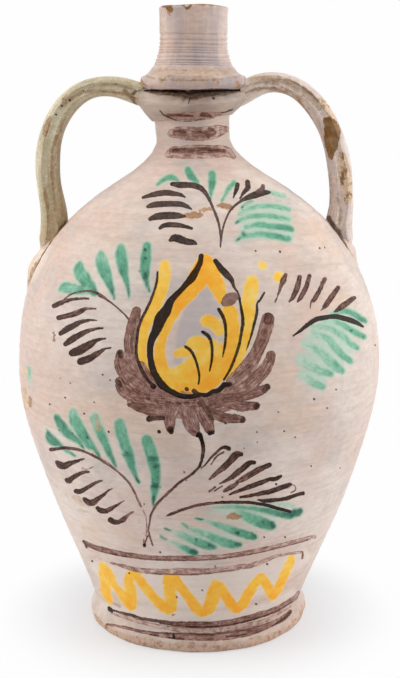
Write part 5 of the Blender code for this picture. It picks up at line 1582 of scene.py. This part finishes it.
class JAR_OT_neck_band(bpy.types.Operator):
    """Strip of clay pressed round the neck under the collar"""

    bl_idname = "jar.neck_band"
    bl_label = "Neck band"

    def execute(self, context):
        foot = LIP_HEIGHT - BAND_HEIGHT
        flare = BAND_REACH - BAND_FOOT_REACH
        knots = [
            (BAND_REACH - 0.0060, LIP_HEIGHT),
            (BAND_REACH - 0.0016, LIP_HEIGHT - 0.0003),
            (BAND_REACH, LIP_HEIGHT - 0.0026),
            (BAND_REACH, foot + 0.66 * BAND_HEIGHT),
            (BAND_FOOT_REACH + 0.5 * flare, foot + 0.34 * BAND_HEIGHT),
            (BAND_FOOT_REACH + 0.1 * flare, foot + 0.10 * BAND_HEIGHT),
            (BAND_FOOT_REACH - 0.0006, foot),
        ]
        outline = [(BAND_BORE, LIP_HEIGHT), (0.0310, LIP_HEIGHT + 0.0002)]
        outline += evenly([(0.0330, LIP_HEIGHT)] + knots, BAND_GRID) + [(BAND_BORE, foot)]
        shape = thrown(outline, front_steps=150, back_steps=50, closed=True)
        places, radius, turn, height = round_axis(shape)
        side = (places[:, 0] / radius) ** 2
        climb = smoothstep(foot, LIP_HEIGHT, height)
        front = BAND_FOOT_FRONT / BAND_FOOT_REACH * (1.0 - climb) + BAND_FRONT / BAND_REACH * climb
        pull = side + (1.0 - side) * front
        slope = np.where(height > LIP_HEIGHT - 0.0012, smoothstep(0.0325, 0.0395, radius), 1.0)
        places[:, 2] -= BAND_DIP * climb * (1.0 - side) * slope
        places[:, 2] -= BAND_TILT * (1.0 - climb) * 0.5 * (1.0 - places[:, 0] / radius)
        places[:, 2] += waves(turn, height, BAND_RIPPLES) * climb * (1.0 - side) * slope
        places[:, 2] -= CRACK_DEPTH * climb * slope * np.exp(-(((turn - CRACK_TURN) / CRACK_WIDTH) ** 2))
        places[:, :2] *= pull[:, None]
        places[:, 0] += drift(places[:, 2])
        move_to(shape, places)
        # The band's tones are darker than the body's glaze; part of that is painted shade from the collar
        # above it
        tones = (tone(194, 180, 168), tone(180, 156, 142), tone(160, 150, 144), tone(140, 112, 92))
        material = painted_glaze("cream_tin_glaze_band", tones)
        paint(as_piece("neck_band_skin", shape, material, ["neck_band"]))
        return {"FINISHED"}


# Handles and wads

GRIP_SIDES = 72
GRIP_SPACING = 44  # sections between two knots
ROOT_TUCK = 0.0037  # how far a root runs on under the collar
TIP_SINK = 0.0042  # how far the middle of a tip lies under the wall
RUN_STEP = 0.004  # height over which the body's slope is measured


class Course(NamedTuple):
    """Where a handle runs; side is -1 for the left and 1 for the right."""

    side: float
    root_drop: float
    climb: float
    crown_out: float
    crown_rise: float
    crown_round: float
    side_round: float
    reach: float
    reach_height: float
    foot_height: float
    tip_height: float


class Knot(NamedTuple):
    """Place on a handle's middle line, how the line runs there, its arms, and the section."""

    place: Vector
    run: Vector
    arm_in: float
    arm_out: float
    thick: float
    wide: float


HANDLES = {
    "handle_left": Course(
        side=-1.0, root_drop=0.0034, climb=math.radians(17.0),
        crown_out=0.0230, crown_rise=0.0030, crown_round=0.64, side_round=0.56,
        reach=0.1140, reach_height=0.3500, foot_height=0.3000, tip_height=0.2800,
    ),
    "handle_right": Course(
        side=1.0, root_drop=0.0020, climb=math.radians(28.0),
        crown_out=0.0175, crown_rise=0.0060, crown_round=0.64, side_round=0.50,
        reach=0.1081, reach_height=0.3270, foot_height=0.3020, tip_height=0.2840,
    ),
}


def surface_run(height, side):
    """Place on the body's outside at one side, its downward run and its outward way."""
    here, below = outside_radius(height), outside_radius(height - RUN_STEP)
    run = Vector((side * (below - here), 0.0, -RUN_STEP)).normalized()
    out = Vector((-side * run.z, 0.0, side * run.x))
    return Vector((side * here + drift(height), 0.0, height)), run, out


def handle_knots(course):
    """Knots from the root in the band to the tip."""
    side = course.side
    root_height = LIP_HEIGHT - course.root_drop
    root = Vector((side * (BAND_REACH - 0.0060) + drift(root_height), 0.0, root_height))
    crown_reach = side * (BAND_REACH + course.crown_out) + drift(LIP_HEIGHT)
    crown = Vector((crown_reach, 0.0, LIP_HEIGHT + course.crown_rise))
    widest = Vector((side * course.reach, 0.0, course.reach_height))
    foot, foot_run, _ = surface_run(course.foot_height, side)
    tip, tip_run, tip_out = surface_run(course.tip_height, side)
    root_way = Vector((side * math.cos(course.climb), 0.0, math.sin(course.climb)))
    root -= root_way * ROOT_TUCK
    down = Vector((0.0, 0.0, -1.0))
    root_arm = 0.4 * course.crown_out + ROOT_TUCK
    crown_arm = course.crown_round * abs(widest.x - crown.x)
    side_arm = course.side_round * (crown.z - widest.z)
    fall_arm = 0.4 * (widest.z - foot.z)
    slide_arm = 0.4 * (foot - tip).length
    foot_way = (2.0 * down + foot_run).normalized()
    return [
        Knot(root, root_way, 0.0, root_arm, thick=0.0170, wide=0.0250),
        Knot(crown, Vector((side, 0.0, 0.0)), root_arm, crown_arm, thick=0.0147, wide=0.0235),
        Knot(widest, down, side_arm, fall_arm, thick=0.0178, wide=0.0250),
        Knot(foot, foot_way, fall_arm, slide_arm, thick=0.0200, wide=0.0290),
        Knot(tip - tip_out * TIP_SINK, tip_run, slide_arm, 0.0, thick=0.0070, wide=0.0110),
    ]


def middle_line(knots):
    """Stations (place, thickness, width) of a smooth line through a handle's knots."""
    stations = []
    for near, far in zip(knots, knots[1:]):
        leaving = near.place + near.run * near.arm_out
        coming = far.place - far.run * far.arm_in
        places = interpolate_bezier(near.place, leaving, coming, far.place, GRIP_SPACING + 1)
        for step, place in enumerate(places):
            share = float(smoothstep(0.0, 1.0, step / GRIP_SPACING))
            thick = near.thick + (far.thick - near.thick) * share
            wide = near.wide + (far.wide - near.wide) * share
            if step or not stations:
                stations.append((place, thick, wide))
    return stations


def grip_ring(thick, wide, far):
    """Strap section as (outward, sideways) points, with its finger groove and the pull's unevenness."""
    turn = TAU * np.arange(GRIP_SIDES) / GRIP_SIDES
    along, across = np.sin(turn), np.cos(turn)
    groove = sizes().grip_groove * np.maximum(0.0, 1.0 - (along / 0.34) ** 2) ** 0.7
    out = np.sign(along) * np.abs(along) ** 0.85 * 0.5 * thick
    aside = np.sign(across) * np.abs(across) ** 0.80 * 0.5 * wide - np.sign(across) * groove
    uneven = waves(turn, far, PULL_MARKS)
    return out + uneven * along, aside + uneven * across


def first_ring(shape, sides):
    """A capped ring to extrude: its vertices and its edges."""
    ring = bmesh.ops.create_circle(shape, cap_ends=True, segments=sides, radius=0.01)["verts"]
    return ring, list(shape.edges)


def next_ring(shape, edges):
    """Extrudes a ring's edges, and gives the new ring's vertices and edges."""
    grown = bmesh.ops.extrude_edge_only(shape, edges=edges)["geom"]
    ring = [item for item in grown if isinstance(item, bmesh.types.BMVert)]
    members = set(ring)
    edges = [item for item in grown if isinstance(item, bmesh.types.BMEdge)]
    return ring, [edge for edge in edges if all(vertex in members for vertex in edge.verts)]


def close_end(shape, edges):
    bmesh.ops.contextual_create(shape, geom=edges)
    bmesh.ops.recalc_face_normals(shape, faces=shape.faces)


def pulled(course):
    """A handle: a ring of clay extruded along its line, each new ring laid on the next section."""
    stations = middle_line(handle_knots(course))
    last = len(stations) - 1
    shape = bmesh.new()
    pull = shape.verts.layers.float_vector.new("pull")
    ring, edges = first_ring(shape, GRIP_SIDES)
    far = 0.0
    for index, (place, thick, wide) in enumerate(stations):
        if index:
            ring, edges = next_ring(shape, edges)
            far += (place - stations[index - 1][0]).length
        run = (stations[min(index + 1, last)][0] - stations[max(index - 1, 0)][0]).normalized()
        outward = course.side * Vector((-run.z, 0.0, run.x))
        for vertex, out, aside in zip(ring, *grip_ring(thick, wide, far)):
            vertex.co = place + outward * float(out) + Vector((0.0, float(aside), 0.0))
            vertex[pull] = MM * Vector((float(out), float(aside), far))
    close_end(shape, edges)
    return shape


def chip(piece, bare, seen):
    """Sinks the places where the glaze is chipped off."""
    mesh = piece.data
    for index, depth in zip(seen, smoothstep(-0.2, 0.9, bare)):
        if depth > 0.0:
            vertex = mesh.vertices[index]
            vertex.co -= vertex.normal * sizes().chip_depth * float(depth)


class JAR_OT_handles(bpy.types.Operator):
    """The two pulled, grooved handles"""

    bl_idname = "jar.handles"
    bl_label = "Handles"

    def execute(self, context):
        olive = tuple(context.scene.jar_colours.olive)
        tones = {
            "handle_left": (tone(232, 220, 192), olive, tone(186, 174, 144), tone(164, 138, 98)),
            "handle_right": (
                tone(238, 224, 214), tone(228, 206, 194), tone(204, 194, 194), tone(184, 152, 132),
            ),
        }
        slots = {"handle_left": "olive_grey_glaze", "handle_right": "pink_grey_glaze"}
        for name, slot in slots.items():
            shape = pulled(HANDLES[name])
            material = painted_glaze(slot, tones[name], kind="pulled")
            piece = as_piece(name + "_skin", shape, material, [name])
            bare, seen = paint(piece)
            chip(piece, bare, seen)
        return {"FINISHED"}


WAD_STEPS = 30
WAD_SIDES = 28
WAD_LAP = 0.0030  # how far a wad starts above the handle's foot
WAD_SINK = 0.0012  # how far a wad's edge lies under the wall
WAD_ROOT = 0.0030  # how far its back lies deeper still
WADS = {
    # side, height of the handle's foot, lower end, width, how proud it stands
    "tail_pad_left": (-1.0, 0.3000, 0.2560, 0.0380, 0.0046),
    "tail_pad_right": (1.0, 0.3020, 0.2790, 0.0370, 0.0036),
}


def wad(side, foot_height, end, width, proud):
    """A smeared wad: a ring of clay extruded down the body, swelling and then tapering into it."""
    top = foot_height + WAD_LAP
    shape = bmesh.new()
    ring, edges = first_ring(shape, WAD_SIDES)
    for step in range(WAD_STEPS + 1):
        share = step / WAD_STEPS
        if step:
            ring, edges = next_ring(shape, edges)
        place, _, out = surface_run(top + (end - top) * share, side)
        rise = 0.75 + 0.25 * float(smoothstep(0.3, 0.6, share))
        swell = rise * (1.0 - float(smoothstep(0.6, 1.0, share)))
        spread = 0.70 + 0.30 * float(smoothstep(0.0, 0.3, share))
        half = 0.5 * width * spread * (1.0 - 0.7 * float(smoothstep(0.3, 1.0, share)))
        for number, vertex in enumerate(ring):
            turn = TAU * number / WAD_SIDES
            lump = 1.0 + float(waves(turn, share, WAD_LUMPS))
            up = math.sin(turn)
            back = WAD_ROOT * up
            height = ((proud * swell * lump + WAD_SINK) * up * up if up > 0.0 else back) - WAD_SINK
            vertex.co = place + out * height + Vector((0.0, half * math.cos(turn), 0.0))
    close_end(shape, edges)
    return shape


class JAR_OT_wads(bpy.types.Operator):
    """The wads of clay smeared down the belly under the handles' feet"""

    bl_idname = "jar.wads"
    bl_label = "Wads under the handles"

    def execute(self, context):
        peach = (tone(238, 218, 200), tone(232, 208, 184), tone(218, 198, 180), tone(216, 182, 150))
        rows = (
            ("tail_pad_left", "peach_tin_glaze", peach),
            ("tail_pad_right", "cream_tin_glaze", body_tones()),
        )
        for name, slot, tones in rows:
            material = painted_glaze(name + "_glaze", tones)
            paint(as_piece(name + "_skin", wad(*WADS[name]), material, [name]))
        return {"FINISHED"}


# Stage

WHITE = (1.0, 1.0, 1.0, 1.0)
PAPER = (0.87, 0.89, 0.93, 1.0)
BACKDROP_LEVEL = 0.99
FILL_LEVEL = 0.24
SOFTBOXES = (
    # name, place, what it faces, size, watts
    ("left_softbox", (-1.5, -0.15, 0.70), (0.0, 0.0, 0.24), (1.3, 1.5), 17.0),
    ("right_softbox", (1.5, -0.15, 0.70), (0.0, 0.0, 0.24), (1.3, 1.5), 17.5),
    ("top_softbox", (0.0, -0.2, 1.7), (0.0, 0.0, 0.2), (1.4, 1.2), 12.0),
)


def area_light(name, place, target, size, watts):
    lamp = bpy.data.lights.new(name, "AREA")
    lamp.shape = "RECTANGLE"
    lamp.size, lamp.size_y = size
    lamp.energy = watts
    light = bpy.data.objects.new(name, lamp)
    bpy.context.scene.collection.objects.link(light)
    light.location = place
    light.rotation_euler = (Vector(target) - Vector(place)).to_track_quat("-Z", "Y").to_euler()


class JAR_OT_stage(bpy.types.Operator):
    """Pale floor, soft studio light and the photograph's camera"""

    bl_idname = "jar.stage"
    bl_label = "Studio"

    def execute(self, context):
        scene = context.scene
        shape = bmesh.new()
        bmesh.ops.create_circle(shape, cap_ends=True, segments=96, radius=6.0)
        mesh = bpy.data.meshes.new("floor")
        shape.to_mesh(mesh)
        shape.free()
        floor = bpy.data.objects.new("floor", mesh)
        scene.collection.objects.link(floor)
        mix = Mixer("white_paper")
        far = mix.add("ShaderNodeVectorMath", {0: mix.place}, operation="LENGTH").outputs["Value"]
        share = mix.calc("MULTIPLY", mix.seen_background(), mix.ramp(far, 0.085, 0.17, 0.5, 1.0))
        paper = mix.add("ShaderNodeBsdfDiffuse", {"Color": PAPER})
        glow = mix.add("ShaderNodeEmission", {"Color": WHITE, "Strength": BACKDROP_LEVEL})
        both = mix.add("ShaderNodeMixShader", {0: share, 1: paper.outputs[0], 2: glow.outputs[0]})
        mix.add("ShaderNodeOutputMaterial", {"Surface": both.outputs[0]})
        mesh.materials.append(mix.material)

        world = bpy.data.worlds.new("studio")
        scene.world = world
        world.use_nodes = True
        mix = Mixer("studio", world.node_tree)
        white = mix.add("ShaderNodeBackground", {"Color": WHITE, "Strength": BACKDROP_LEVEL})
        fill = mix.add("ShaderNodeBackground", {"Color": WHITE, "Strength": FILL_LEVEL})
        behind = mix.seen_background()
        both = mix.add("ShaderNodeMixShader", {0: behind, 1: fill.outputs[0], 2: white.outputs[0]})
        mix.add("ShaderNodeOutputWorld", {"Surface": both.outputs[0]})

        for softbox in SOFTBOXES:
            area_light(*softbox)

        view = bpy.data.cameras.new("photograph")
        view.sensor_width = SENSOR
        view.lens = FOCAL_PIXELS * SENSOR / PHOTO_HEIGHT
        camera = bpy.data.objects.new("photograph", view)
        scene.collection.objects.link(camera)
        camera.location = (CAMERA_X, -CAMERA_DISTANCE, CAMERA_HEIGHT)
        camera.rotation_euler = (0.5 * math.pi - CAMERA_PITCH, 0.0, 0.0)
        scene.camera = camera
        scene.view_settings.view_transform = "Standard"
        return {"FINISHED"}


class JAR_PT_panel(bpy.types.Panel):
    """Lists the jar's pieces"""

    bl_idname = "JAR_PT_panel"
    bl_label = "Oil jar"
    bl_space_type = "VIEW_3D"
    bl_region_type = "UI"
    bl_category = "Oil jar"

    def draw(self, context):
        for settings in (context.scene.jar_sizes, context.scene.jar_colours):
            for key in settings.bl_rna.properties.keys():
                if key not in ("rna_type", "name"):
                    self.layout.prop(settings, key)
        for operator in OPERATORS:
            self.layout.operator(operator.bl_idname)


OPERATORS = (
    JAR_OT_foot,
    JAR_OT_lower_body,
    JAR_OT_upper_body,
    JAR_OT_neck_band,
    JAR_OT_spout,
    JAR_OT_handles,
    JAR_OT_wads,
    JAR_OT_stage,
)


def register():
    for group in (JarSizes, JarColours, *OPERATORS, JAR_PT_panel):
        bpy.utils.register_class(group)
    bpy.types.Scene.jar_sizes = bpy.props.PointerProperty(type=JarSizes)
    bpy.types.Scene.jar_colours = bpy.props.PointerProperty(type=JarColours)


def unregister():
    del bpy.types.Scene.jar_colours
    del bpy.types.Scene.jar_sizes
    for group in (JAR_PT_panel, *OPERATORS[::-1], JarColours, JarSizes):
        bpy.utils.unregister_class(group)


def main():
    register()
    bpy.ops.jar.foot()
    bpy.ops.jar.lower_body()
    bpy.ops.jar.upper_body()
    bpy.ops.jar.neck_band()
    bpy.ops.jar.spout()
    bpy.ops.jar.handles()
    bpy.ops.jar.wads()
    bpy.ops.jar.stage()


if __name__ == "__main__":
    main()
